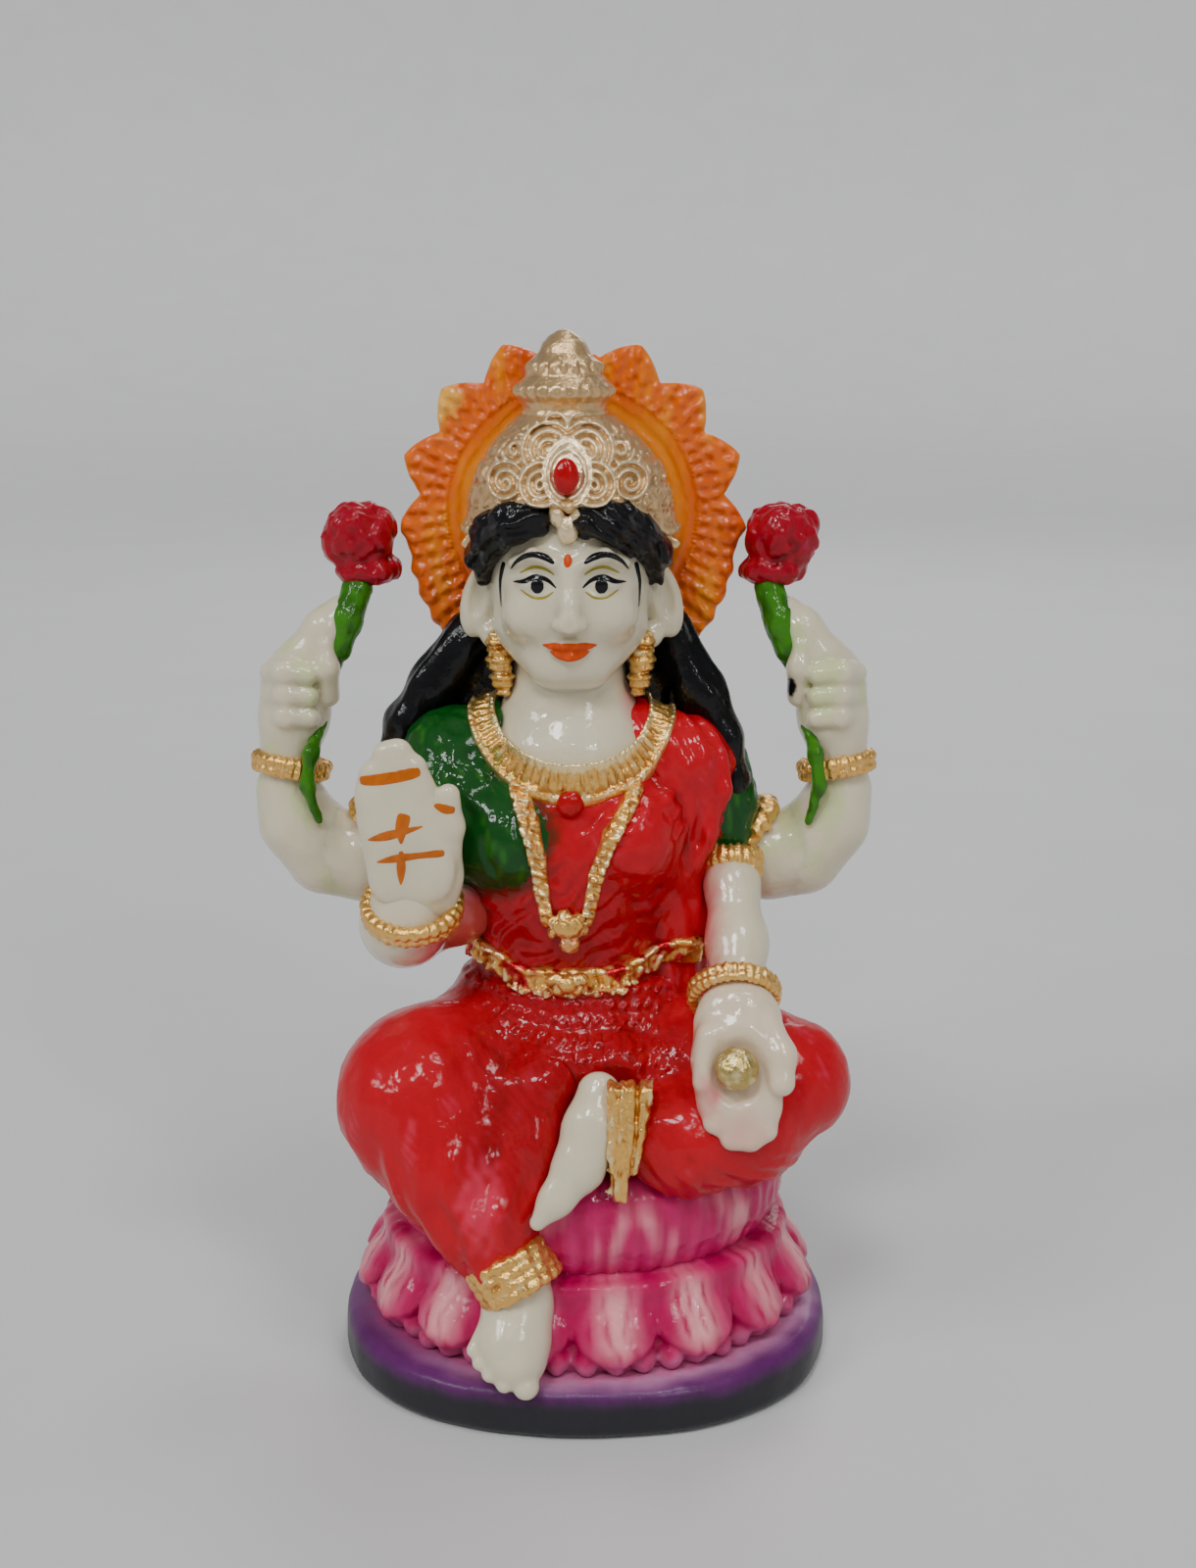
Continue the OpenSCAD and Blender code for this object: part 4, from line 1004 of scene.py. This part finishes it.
def halo(P):
    """A disc with a rayed rim; a smooth inner field, a beaded ring and ribbed rays."""
    c = at("halo", (0, 0, 0))
    x, y, z = (P - c).T
    turn = np.degrees(np.abs(np.arctan2(x, z)))
    step = (turn - 22.5) / 24.5
    saw = np.abs(step - np.round(step)) * 2
    flank = 20.6 + (turn - 97) * 0.05 + 0.2 * np.sin(turn * 0.7)
    rim = 18.9 + 2.9 * (1 - saw ** 1.25) * smooth(turn, 4, 12)
    rim = rim + (flank - rim) * smooth(turn, 95, 104)
    r = np.hypot(x, z)
    outline = np.maximum((r - rim) * 0.8, -17.6 - z)
    outer = smooth(r, 15.4, 16.2)
    ribs = np.sin(turn * 1.15 + 0.9 * noise(P, 3)) * outer * (0.7 + 0.5 * np.sin(r * 3.2 + 2 * noise(P, 2)))
    rings = np.sin(r * 3.6 + 0.8 * noise(P, 3)) * (1 - outer) * (0.4 + 0.3 * noise(P, 4))
    beads = np.exp(-((r - 15.6) / 0.4) ** 2) * (0.7 + 0.5 * np.sin(turn * 3.1))
    ruffle = 0.3 * ribs + 0.24 * rings + 0.35 * beads + 0.3 * (1 - saw) * smooth(r, 16, 20)
    front = -y - 0.9 - ruffle - 0.14 * noise(P, 1.8) * outer - 0.07 * noise(P, 0.9)
    return rounded_both(outline, np.maximum(front, y - 1.3), 0.8)


def crown_colours(P, out, crease, ridge):
    # Painted shade in the creases and painted highlights on the ridges.
    colour = blend(PEARL, PEARL_SHADE, 0.75 * smooth(crease, 0.12, 0.6))
    colour = blend(colour, GOLD_HIGHLIGHT, 0.45 * smooth(ridge + 0.3 * noise(P, 1.2), 0.3, 0.9))
    return colour * (1 + 0.08 * noise(P, 1.5))[:, None]


def crest_colours(P, out, crease, ridge):
    """Paler and brighter than the dome, with painted shade, a deeper gold, in its grooves, and painted
    highlights on its ridges.
    """
    colour = blend(tint(0.92, 0.72, 0.42), tint(0.60, 0.36, 0.15), 0.85 * smooth(crease, 0.06, 0.4))
    return blend(colour, tint(1.0, 0.88, 0.6), 0.5 * smooth(ridge, 0.2, 0.7))


def halo_colours(P, out, crease, ridge):
    q = P - at("halo", (0, 0, 0))
    patch = noise(P * (1.6, 1, 0.6), 5) + 0.3 * noise(P * (2, 1, 0.6), 2)
    colour = blend(ORANGE, YELLOW, 0.8 * smooth(patch, 0, 1))
    colour = blend(colour, FLAME, 0.6 * smooth(-patch, 0.2, 1))
    colour = blend(colour, YELLOW, 0.7 * smooth(-np.abs(np.hypot(q[:, 0], q[:, 2]) - 12.8), -2.2, -0.2))
    # Painted shade: deeper flame orange in the creases.
    colour = blend(colour, FLAME, 0.35 * smooth(crease, 0.2, 0.6))
    corner = at("halo", (-16, 0, 13.5))
    pearly = smooth(noise(P, 1.2) - length((P - corner) * (1, 0.3, 1)), -3.6, -1.0)
    return blend(colour, tint(0.92, 0.62, 0.10), 0.65 * pearly)


# ---- Lotus buds and stems ----

def lotus_bud(side):
    name = {-1: "right", 1: "left"}[side] + "_lotus_bud"

    def field(P):
        c = at(name, (side * 0.2, 0, 0.4))
        lobes = [egg(P, c, (3.9, 3.6, 3.8)), egg(P, c + np.array((0, 0, 2.9)), (2.7, 2.5, 1.9))]
        for i in range(6):
            a = math.radians(60 * i + 20)
            lift = 0.7 + 0.5 * (-1) ** i
            lobes.append(egg(P, c + np.array((2.1 * math.cos(a), 1.8 * math.sin(a), lift)), (2.6, 2.4, 3.2)))
        for i in range(5):
            a = math.radians(72 * i + 12)
            hem = at(name, (2.0 * math.cos(a) - side * 0.9, 1.7 * math.sin(a), -3.1))
            lobes.append(egg(P, hem, (2.3, 2.1, 1.7)))
        return melt_all(lobes, 0.7) - 0.3 * noise(P, 1.5)

    return field


def bud_colours(P, out, crease, ridge):
    # Painted shade: darker in the creases.
    colour = blend(CRIMSON, tint(0.11, 0.001, 0.004), 0.7 * smooth(crease, 0.12, 0.5))
    return blend(colour, PETAL_PINK, 0.35 * smooth(noise(P, 2.5) + 0.4 * noise(P, 1), 0.7, 1.3))


def lotus_stem(side):
    name = {-1: "right", 1: "left"}[side] + "_lotus_stem"
    s = side
    upper = at(name, (-s * 2.6, 2.4, 14.2, 1.9), (-s * 1.4, 0.9, 10.4, 1.8), (-s * 0.5, 0.2, 7.0, 1.5))
    hidden = at(name, (-s * 0.5, 0.2, 7.0, 1.2), (s * 1.6, 1.6, 2, 0.9), (s * 2.2, 0.2, -2.4, 0.7))
    lower = at(name, (s * 2.2, 0.2, -2.4, 0.7), (s * 3.0, -3.2, -5.4, 0.85), (s * 3.6, -3.5, -9.4, 0.8),
               (s * 2.4, -2.9, -14, 0.5))

    def field(P):
        return melt_all([limb(P, rows, 1) for rows in (upper, hidden, lower)], 0.4) - 0.12 * noise(P, 1.2)

    return field


def stem_colours(P, out, crease, ridge):
    return blend(LEAF, tint(0.01, 0.07, 0.003), 0.6 * smooth(noise(P, 2), -0.2, 0.6))


# ---- Gold ----

def on_body(P):
    """The dressed body that the jewellery lies on."""
    return melt_all([f(P) for f in CLOTHED], 1.6)


def laid_on(P, flat, lift):
    """A thing with the outline flat, lying lift above the dressed body's front."""
    under = on_body(P)
    return np.maximum(rounded_both(flat, under - lift, 0.35), -under - 1.2)


def traced(P, rows):
    """The distance from a line drawn on the body, seen from the front."""
    flat = np.array(rows, np.float32)
    flat[:, 1] = 0
    return limb(P * np.array((1, 0, 1), np.float32), flat, 0.5)


def collar(P):
    q = (P - at("collar", (0, 3.7, 2.8))) @ turned("x", 44)
    out = np.hypot(q[:, 0] / 0.97, q[:, 1])
    turn = np.arctan2(q[:, 1], q[:, 0])
    strip = np.maximum(np.abs(out - 11.4) - 1.75, np.abs(q[:, 2]) - 4)
    ribs = 0.16 * np.sin(turn * 66 + 0.6 * noise(P, 3)) * smooth(-np.abs(out - 11.2), -1.1, -0.7)
    rims = 0.3 * np.exp(-((np.abs(out - 11.4) - 1.45) / 0.28) ** 2) * (0.8 + 0.35 * np.sin(turn * 84))
    return laid_on(P, strip, 0.45 + ribs + rims + 0.08 * noise(P, 1.1))


def long_chain(P):
    n = "long_chain"
    left = traced(P, at(n, (-5.8, 0, 8.2, 1.15), (-4.4, 0, 4.2, 1.15), (-3.5, 0, 0, 1.0), (-3.1, 0, -4, 0.9),
                        (-2.4, 0, -8.2, 0.8)))
    right = traced(P, at(n, (8.2, 0, 7.8, 0.95), (5.2, 0, 2.8, 0.95), (3.5, 0, -2.2, 0.9),
                         (2.4, 0, -8.0, 0.8)))
    links = 0.16 * np.sin(P[:, 2] * 5.2 + P[:, 0] * 1.5) + 0.26 * noise(P, 0.9)
    return np.maximum(laid_on(P, np.minimum(left, right), 0.65 + links), P[:, 1] + 4)


def pendant(P):
    n = "chain_pendant"
    lumps = [egg(P, at(n, (0.1, 0, 0.5)), (1.9, 1.1, 1.5)), egg(P, at(n, (0.3, 0.1, -1.7)), (1.2, 0.9, 1.1))]
    for x, z in ((-1.6, 1.2), (-0.4, 1.9), (1.3, 1.5), (1.8, 0), (-1.7, -0.3)):
        lumps.append(egg(P, at(n, (x, 0.3, z)), (0.75, 0.7, 0.75)))
    return melt_all(lumps, 0.35) - 0.15 * noise(P, 0.8)


def belt(P):
    mid = at("waist_belt", (0, 0, 0))
    x, y, z = (P - mid).T
    turn = np.arctan2(y * 1.3, x)
    sag = np.where(y < 0, 2.6 * smooth(np.abs(x - 0.5), 5, 13) - 1.6, 1.0)
    scallop = 0.4 * np.abs(np.sin(turn * 13))
    strip = np.abs(z - sag + scallop * 0.5) - 1.4 - scallop
    ribs = 0.22 * np.sin(turn * 52) * smooth(sag - z, -0.2, 0.3)
    rope = 0.35 * np.exp(-((z - sag - 0.9) / 0.4) ** 2)
    under = np.minimum(on_body(P), lap(P))
    return np.maximum(rounded_both(strip, under - 0.5 - ribs - rope - 0.15 * noise(P, 1.2), 0.35),
                      -under - 1.4)


def clasp(P):
    n = "belt_clasp"
    parts = [egg(P, at(n, (0, 0, 0)), (1.3, 1.15, 1.2))]
    parts += [egg(P, at(n, (s * 1.7, 0.2, 0.5)), (1.1, 0.9, 0.8), turned("y", s * 24)) for s in (-1, 1)]
    parts += [egg(P, at(n, (s * 1.2, 0.2, -0.9)), (0.8, 0.8, 0.7), turned("y", -s * 30)) for s in (-1, 1)]
    return melt_all(parts, 0.35) - 0.06 * noise(P, 0.8)


def banded(node, place, radius, thick, turn, ribs=30, tall=1.0):
    """A bangle: two rounded bands side by side, lightly ribbed. tall stretches them along the arm."""
    def field(P):
        q = (P - at(node, place)) @ turn
        across, up = np.hypot(q[:, 0], q[:, 1]) - radius, q[:, 2] / tall
        angle = np.arctan2(q[:, 1], q[:, 0])
        high, low = np.hypot(across, up - 0.5) - thick * 0.82, np.hypot(across, up + 0.5) - thick * 0.72
        return np.minimum(high, low) - 0.1 * np.sin(angle * ribs) - 0.1 * noise(P, 0.9)
    return field


def anklet(P):
    bands = []
    for i, rise in enumerate((2.1, 0.9, -0.3, -1.5)):
        middle = at("anklet", (0.7 - 0.5 * rise, 0.4 + 0.25 * rise, 2.2 + 0.85 * rise))
        band, turn = ring(P, middle, 4.6, 0.85, turned("x", -17) @ turned("y", -28))
        bands.append(band - 0.1 * np.sin(turn * (17 + i) + 1.6 * i) - 0.12 * noise(P, 1.4))
    return melt_all(bands, 0.15) - 0.08 * noise(P, 0.7)


def rear_armlets(P):
    both = []
    for s in (-1, 1):
        d, turn = ring(P, at("rear_armlets", (s * 23.2, -0.6, 2.8)), 4.3, 1.2, turned("y", -s * 50))
        both.append(d - 0.14 * np.sin(turn * 18) - 0.3 * noise(P, 1.6))
    return np.minimum(*both)


def earrings(P):
    drops = ((8.9, 0.7, 2.6, 1.35), (8.6, 0.1, 0.5, 1.6), (8.3, 0, -1.6, 1.4), (8.1, 0, -3.1, 0.9))
    both = [melt_all([egg(P, at("earrings", (s * x, y, z)), (r, r, r * 1.1)) for x, y, z, r in drops], 0.3)
            for s in (-1, 1)]
    return np.minimum(*both) - 0.14 * np.sin(P[:, 2] * 6) - 0.12 * noise(P, 0.8)


def pleat(P):
    n = "pleat_trim"
    c = at(n, (0, 0, 0))
    x, y, z = (P - c).T
    middle = np.interp(z, (-7, -3, 2, 7), (-0.6, -0.5, 0.1, 0.3))
    wide = np.interp(z, (-6.9, -3.6, -2.6, 2, 7.6), (0.8, 0.9, 1.8, 2.3, 2.75))
    forwards = np.interp(z, (-7, -3, 2, 7), (-1.3, -1.6, -1.2, -0.3))
    across = x - middle
    strip = np.maximum(np.abs(across) - wide, np.abs(z - 0.35) - 7.1)
    d = rounded_both(strip, np.abs(y - forwards - 1.1) - 1.5, 0.5)
    flap = limb(P, at(n, (-1.2, -0.9, -3, 0.8), (-1.9, -0.8, -5.6, 0.6)), 1, (1, 0.7, 1))
    grooves = np.exp(-((across + 1.2) / 0.2) ** 2) + np.exp(-((across - 1.0) / 0.2) ** 2)
    return melt(d, flap, 0.6) + 0.3 * grooves - 0.14 * np.sin(across * 5) - 0.16 * noise(P, 0.8)


def coins(P):
    c = at("coins", (0.1, 0.4, -0.2))
    dome = egg(P, c, (2.6, 1.7, 2.5), turned("x", -26))
    line = 0.12 * np.exp(-((P[:, 2] - c[2] + 0.3 + 0.1 * noise(P, 2)) / 0.25) ** 2)
    return dome + line - 0.07 * noise(P, 0.7)


def gem(node, r):
    def field(P):
        return egg(P, at(node, (0, 0, 0)), r) - 0.05 * noise(P, 1)
    return field


def gold_colours(P, out, crease, ridge):
    # Burnt orange in the creases is the orange undercoat that shows there, darkened as painted shade; pale
    # gold on the ridges is a painted highlight.
    colour = blend(GOLD, BURNT, 0.9 * smooth(crease, 0.08, 0.45))
    return blend(colour, GOLD_HIGHLIGHT, 0.75 * smooth(ridge + 0.35 * noise(P, 1.4), 0.25, 0.8))


def coin_colours(P, out, crease, ridge):
    return blend(tint(0.50, 0.36, 0.11), tint(0.78, 0.64, 0.3), smooth(noise(P, 1.2), -0.2, 0.8))


def collar_colours(P, out, crease, ridge):
    colour = gold_colours(P, out, crease, ridge)
    left = smooth(at("torso", (-5, 0, 0))[0] - P[:, 0] + noise(P, 2), 0, 3)
    return blend(colour, tint(0.16, 0.30, 0.05), 0.5 * left * smooth(crease + 0.4 * noise(P, 1.2), 0.1, 0.5))


def chain_colours(P, out, crease, ridge):
    colour = gold_colours(P, out, crease, ridge)
    low = at("chain_pendant", (0, 0, -1))
    return blend(colour, WORN, 0.35 * smooth(low[2] - P[:, 2] + noise(P, 1.6), -1.5, 1.5))


def belt_colours(P, out, crease, ridge):
    colour = gold_colours(P, out, crease, ridge)
    gap = smooth(noise(P, 3.2) + 0.4 * noise(P, 1.1), 0.1, 0.35)
    return blend(colour, RED, gap)


# ---- Everything sculpted ----

# Each call gives the CAD node, its field, its colours, the voxel's side in millimetres, and how far past the
# node's box to look, where that isn't the usual margin.

CLOTHED = (torso, bodice, shoulder, chest)

sculpt("plinth", plinth, plinth_colours, 0.45)
sculpt("lotus_lower_petals", lotus_lower, petal_colours, 0.42, 0.6)
sculpt("lotus_seat", lotus_seat, seat_colours, 0.42)

cloth = family(CLOTH, 1.6)
for node in ("lap_drape", "right_leg_drape", "left_leg_drape", "shoulder_drape"):
    sculpt(node, cloth[node], red_colours, 0.42)
for node, colours, voxel in (("torso", torso_colours, 0.42), ("bodice", green_colours, 0.4)):
    sculpt(node, lambda P: carve(cloth[node](P), chest(P) - 0.1, 0.4), colours, voxel)
sculpt("left_sleeve", cloth["left_sleeve"], green_colours)

bust = family({"head": head, "neck_and_chest": chest, "ears": ears}, 0.8, 0.15)
face_piece = sculpt("head", bust["head"], skin_colours, 0.24)
sculpt("neck_and_chest", bust["neck_and_chest"], chest_colours)
sculpt("ears", bust["ears"], skin_colours, 0.25)

sculpt("right_foot", right_foot, skin_colours, 0.25)
sculpt("tucked_foot", tucked_foot, skin_colours, 0.3)
sculpt("right_front_arm", right_arm, front_arm_colours, 0.35, 3)
palm_piece = sculpt("right_front_hand", right_hand, skin_colours, 0.25)
sculpt("left_front_arm", left_arm, front_arm_colours, 0.35)
sculpt("left_front_hand", left_hand, giving_hand_colours, 0.25)

for side, word in ((-1, "right"), (1, "left")):
    parts = {f"{word}_rear_{part}": rear_arm(side, part) for part in ("upper_arm", "forearm", "hand")}
    for node, field in family(parts, 2.0, 0.2).items():
        sculpt(node, field, rear_arm_colours, 0.35)
    sculpt(f"{word}_lotus_stem", lotus_stem(side), stem_colours, 0.25)
    sculpt(f"{word}_lotus_bud", lotus_bud(side), bud_colours, 0.28)
    node, tilt = f"{word}_rear_bangle", turned("x", -8) @ turned("y", -side * 10)
    sculpt(node, banded(node, (0, 0, 0), 4.2, 1.05, tilt), gold_colours, 0.22)

sculpt("back_hair", back_hair, plain(BLACK, 2, 0.3), 0.4, 3)
sculpt("front_hair", front_hair, plain(BLACK, 2, 0.3), 0.25)
sculpt("crown_dome", crown_dome, crown_colours, 0.28)
sculpt("crown_crest", crown_crest, crest_colours, 0.16, 0.9)
sculpt("crown_finial", crown_finial, crown_colours, 0.22, 0.3)
sculpt("crown_drop", crown_drop, crest_colours, 0.15)
sculpt("crown_gem", gem("crown_gem", (1.5, 1.1, 2.1)), plain(GEM_RED, 1, 0.1), 0.15)
sculpt("halo", halo, halo_colours, 0.28, 0.3)

sculpt("collar", collar, collar_colours, 0.22)
sculpt("collar_gem", gem("collar_gem", (1.65, 1.05, 1.65)), plain(GEM_RED, 1, 0.1), 0.15)
sculpt("long_chain", long_chain, chain_colours, 0.2)
sculpt("chain_pendant", pendant, chain_colours, 0.15)
sculpt("waist_belt", belt, belt_colours, 0.25)
sculpt("belt_clasp", clasp, gold_colours, 0.18)
sculpt("earrings", earrings, gold_colours, 0.18)
sculpt("anklet", anklet, gold_colours, 0.22, 4)
sculpt("pleat_trim", pleat, gold_colours, 0.22)
sculpt("coins", coins, coin_colours, 0.2)
for node, margin, *band in (("right_front_bangle", 1.2, (0, 0, 0.1), 5.3, 1.1, turned("x", 24)),
                            ("left_front_bangle", 1.2, (0, -0.4, -1.0), 4.95, 0.9, turned("x", -54), 34),
                            ("left_armlet", 2, (-1.9, -0.6, -2.0), 3.0, 1.3, turned("x", -20), 22, 1.6)):
    sculpt(node, banded(node, *band), gold_colours, 0.22, margin)
sculpt("rear_armlets", rear_armlets, gold_colours, 0.25, 3)
sculpt("bindi", gem("bindi", (0.55, 0.6, 1.25)), plain(LINE_ORANGE, 0.6, 0.1), 0.12)


# ---- Painted lines: thin raised strokes laid on the sculpted surfaces ----

def spline(points, steps=14):
    """Points along the smooth curve through the points given."""
    p = np.array([points[0], *points, points[-1]], float)
    out = []
    for a, b, c, d in zip(p[:-3], p[1:-2], p[2:-1], p[3:]):
        second, third = 2 * a - 5 * b + 4 * c - d, 3 * b - a - 3 * c + d
        for t in np.linspace(0, 1, steps, endpoint=False):
            out.append(0.5 * (2 * b + (c - a) * t + second * t ** 2 + third * t ** 3))
    return np.array([*out, p[-2]])


def closed_strip(first, count, across):
    """Faces of a thin closed strip: count points from first, in rows of across, over as many points below."""
    faces = []
    for i in range(first, first + count - across, across):
        for a in range(i, i + across - 1):
            top = (a, a + across, a + across + 1, a + 1)
            faces += [top, tuple(v + count for v in top[::-1])]
    border = [*range(across), *range(2 * across - 1, count, across),
              *range(count - 2, count - across - 1, -1), *range(count - 2 * across, 0, -across)]
    for a, b in zip(border, border[1:] + border[:1]):
        faces.append((first + a, first + b, first + b + count, first + a + count))
    return faces


SUNK, DEEP = 0.03, 0.12  # how far a stroke's rim and its underside lie below the surface
STROKE_ACROSS = 9  # points across a stroke


def strokes(name, target, node, paths, colour, slot, thick=0.07):
    """Brush strokes on a piece, from the front. A path is rows of (x, z, half width) from a node's middle."""
    mid = at(node, (0, 0, 0))
    mesh = target.data
    tree = BVHTree.FromPolygons([v.co[:] for v in mesh.vertices], [p.vertices[:] for p in mesh.polygons])
    verts, faces = [], []
    for path in paths:
        line = spline(path)
        ahead = np.gradient(line[:, :2], axis=0)
        ahead /= np.maximum(length(ahead), 1e-9)[:, None]
        sideways = np.stack([-ahead[:, 1], ahead[:, 0]], 1)
        share = np.linspace(-1, 1, len(line))
        width = line[:, 2] * np.sqrt(np.clip(1 - np.abs(share) ** 7, 0, 1)) + 0.02
        outer, inner = [], []
        for i in range(len(line)):
            for u in np.linspace(-1, 1, STROKE_ACROSS):
                x, z = line[i, :2] + sideways[i] * width[i] * u
                start = Vector((mid[0] + x, mid[1] - 30, mid[2] + z)) * UNIT
                spot, normal = tree.ray_cast(start, Vector((0, 1, 0)))[:2]
                if spot is None:
                    spot, normal = start + Vector((0, 30 * UNIT, 0)), Vector((0, -1, 0))
                rise = thick * math.sqrt(max(0, 1 - u ** 4)) - SUNK
                if i in (0, len(line) - 1):
                    rise = -SUNK
                outer.append(np.array(spot + normal * rise * UNIT) / UNIT)
                inner.append(np.array(spot - normal * DEEP * UNIT) / UNIT)
        faces += closed_strip(len(verts), len(outer), STROKE_ACROSS)
        verts += outer + inner
    verts = np.array(verts)
    return put(name, (), verts, faces, line_paint, slot, plain(colour, 0.7, 0.12)(verts))


def both_sides(*paths):
    return [[(s * x, z, w) for x, z, w in path] for path in paths for s in (-1, 1)]


strokes("brows", face_piece, "head", both_sides(
    [(1.7, 3.2, 0.26), (2.8, 3.9, 0.42), (4.4, 4.2, 0.36), (6.0, 3.3, 0.24), (6.9, 2.1, 0.08)]),
    BLACK, "hair_black")
strokes("eye_lines", face_piece, "head", both_sides(
    [(1.5, 0.3, 0.12), (2.6, 1.2, 0.26), (3.9, 1.5, 0.32), (5.2, 1.0, 0.28), (6.6, 0.7, 0.08)],
    [(7.7, 2.8, 0.3), (8.2, 0.4, 0.2), (8.1, -2.6, 0.08)]), BLACK, "hair_black")
strokes("irises", face_piece, "head", both_sides(
    [(2.95, 0.5, 0.45), (3.4, 0.5, 0.9), (4.0, 0.5, 0.9), (4.45, 0.5, 0.45)]), BLACK, "hair_black", 0.08)
strokes("eyelid_lines", face_piece, "head", both_sides(
    [(1.7, 1.8, 0.1), (2.8, 2.5, 0.2), (4.2, 2.6, 0.22), (5.8, 1.8, 0.08)],
    [(1.8, -0.1, 0.08), (2.9, -0.8, 0.15), (4.3, -0.8, 0.15), (5.7, 0.0, 0.08)]), OLIVE, "gold_paint")
strokes("lips", face_piece, "head", [
    [(-3.2, -6.5, 0.18), (-1.7, -6.55, 0.55), (-0.5, -6.55, 0.6), (0.5, -6.55, 0.6), (1.7, -6.55, 0.55),
     (3.2, -6.5, 0.18)],
    [(-2.3, -7.1, 0.2), (-0.9, -7.6, 0.6), (0.9, -7.6, 0.6), (2.3, -7.1, 0.2)]], LINE_ORANGE, "bindi_orange")
strokes("palm_lines", palm_piece, "right_front_hand", [
    [(-6.0, 6.8, 0.6), (-3, 7.2, 0.75), (1.2, 8.0, 0.75)],
    [(-5.2, -0.2, 0.1), (-2.6, 0.6, 0.62), (1.4, 1.7, 0.12)],
    [(-4.2, -2.8, 0.12), (-1.8, -2.2, 0.55), (1.0, -1.8, 0.42), (3.8, -1.6, 0.6)],
    [(-0.7, 3.2, 0.9), (-1.1, 1.4, 0.8), (-1.2, -0.4, 0.15)],
    [(-1.2, -1.2, 0.3), (-1.3, -3.4, 0.6), (-1.4, -5.5, 0.12)],
    [(2.6, 4.0, 0.2), (3.8, 3.5, 0.6), (5.0, 3.3, 0.45)]], STROKE_ORANGE, "bindi_orange")


# ---- Floor ----

# In statuette heights: the flat floor's radius, the radius of its upward bend, and the rim's height
FLOOR_FLAT, FLOOR_BEND, FLOOR_TOP = 14, 10, 11
FLOOR_SIDES = 96
SKY, SKY_POWER = (0.94, 0.96, 1, 1), 0.18


def make_floor():
    """A pale floor that sweeps up far off on every side, as a shallow bowl, under a plain grey sky."""
    material, tree, shader, place = new_material("pale_floor")
    cloud = add(tree, "TexNoise", Vector=place, Scale=18.0, Detail=4.0)
    shade = between(tree, cloud.outputs["Fac"], 0.60, 0.66)
    grey = add(tree, "CombineColor", Red=shade, Green=shade, Blue=shade)
    tree.links.new(grey.outputs[0], shader.inputs["Base Color"])
    shader.inputs["Roughness"].default_value = 0.6
    near, bend, top, around = FLOOR_FLAT * TALL, FLOOR_BEND * TALL, FLOOR_TOP * TALL, FLOOR_SIDES
    curve = np.radians(np.linspace(0, 90, 13))
    line = [(near / 4, 0), (near / 2, 0)]
    line += [(near + bend * math.sin(a), bend - bend * math.cos(a)) for a in curve] + [(near + bend, top)]
    turns = np.radians(np.arange(0, 360, 360 / around))
    verts = [(r * math.cos(a), r * math.sin(a), z) for r, z in line for a in turns]
    faces = [tuple(range(around))]
    for low in range(0, (len(line) - 1) * around, around):
        faces += [(low + i, low + around + i, low + around + (i + 1) % around, low + (i + 1) % around)
                  for i in range(around)]
    mesh = bpy.data.meshes.new("floor")
    mesh.from_pydata(verts, [], faces)
    mesh.shade_smooth()
    mesh.materials.append(material)
    floor = linked("floor", mesh)
    floor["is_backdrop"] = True
    world = bpy.data.worlds.new("studio")
    world.use_nodes = True
    sky = world.node_tree.nodes["Background"].inputs
    sky["Color"].default_value = SKY
    sky["Strength"].default_value = SKY_POWER
    bpy.context.scene.world = world


make_floor()

VISUAL_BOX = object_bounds()
boxes = {"cad": CAD_BOX, "visual": VISUAL_BOX}
{name: [list(corner) for corner in box] for name, box in boxes.items()}
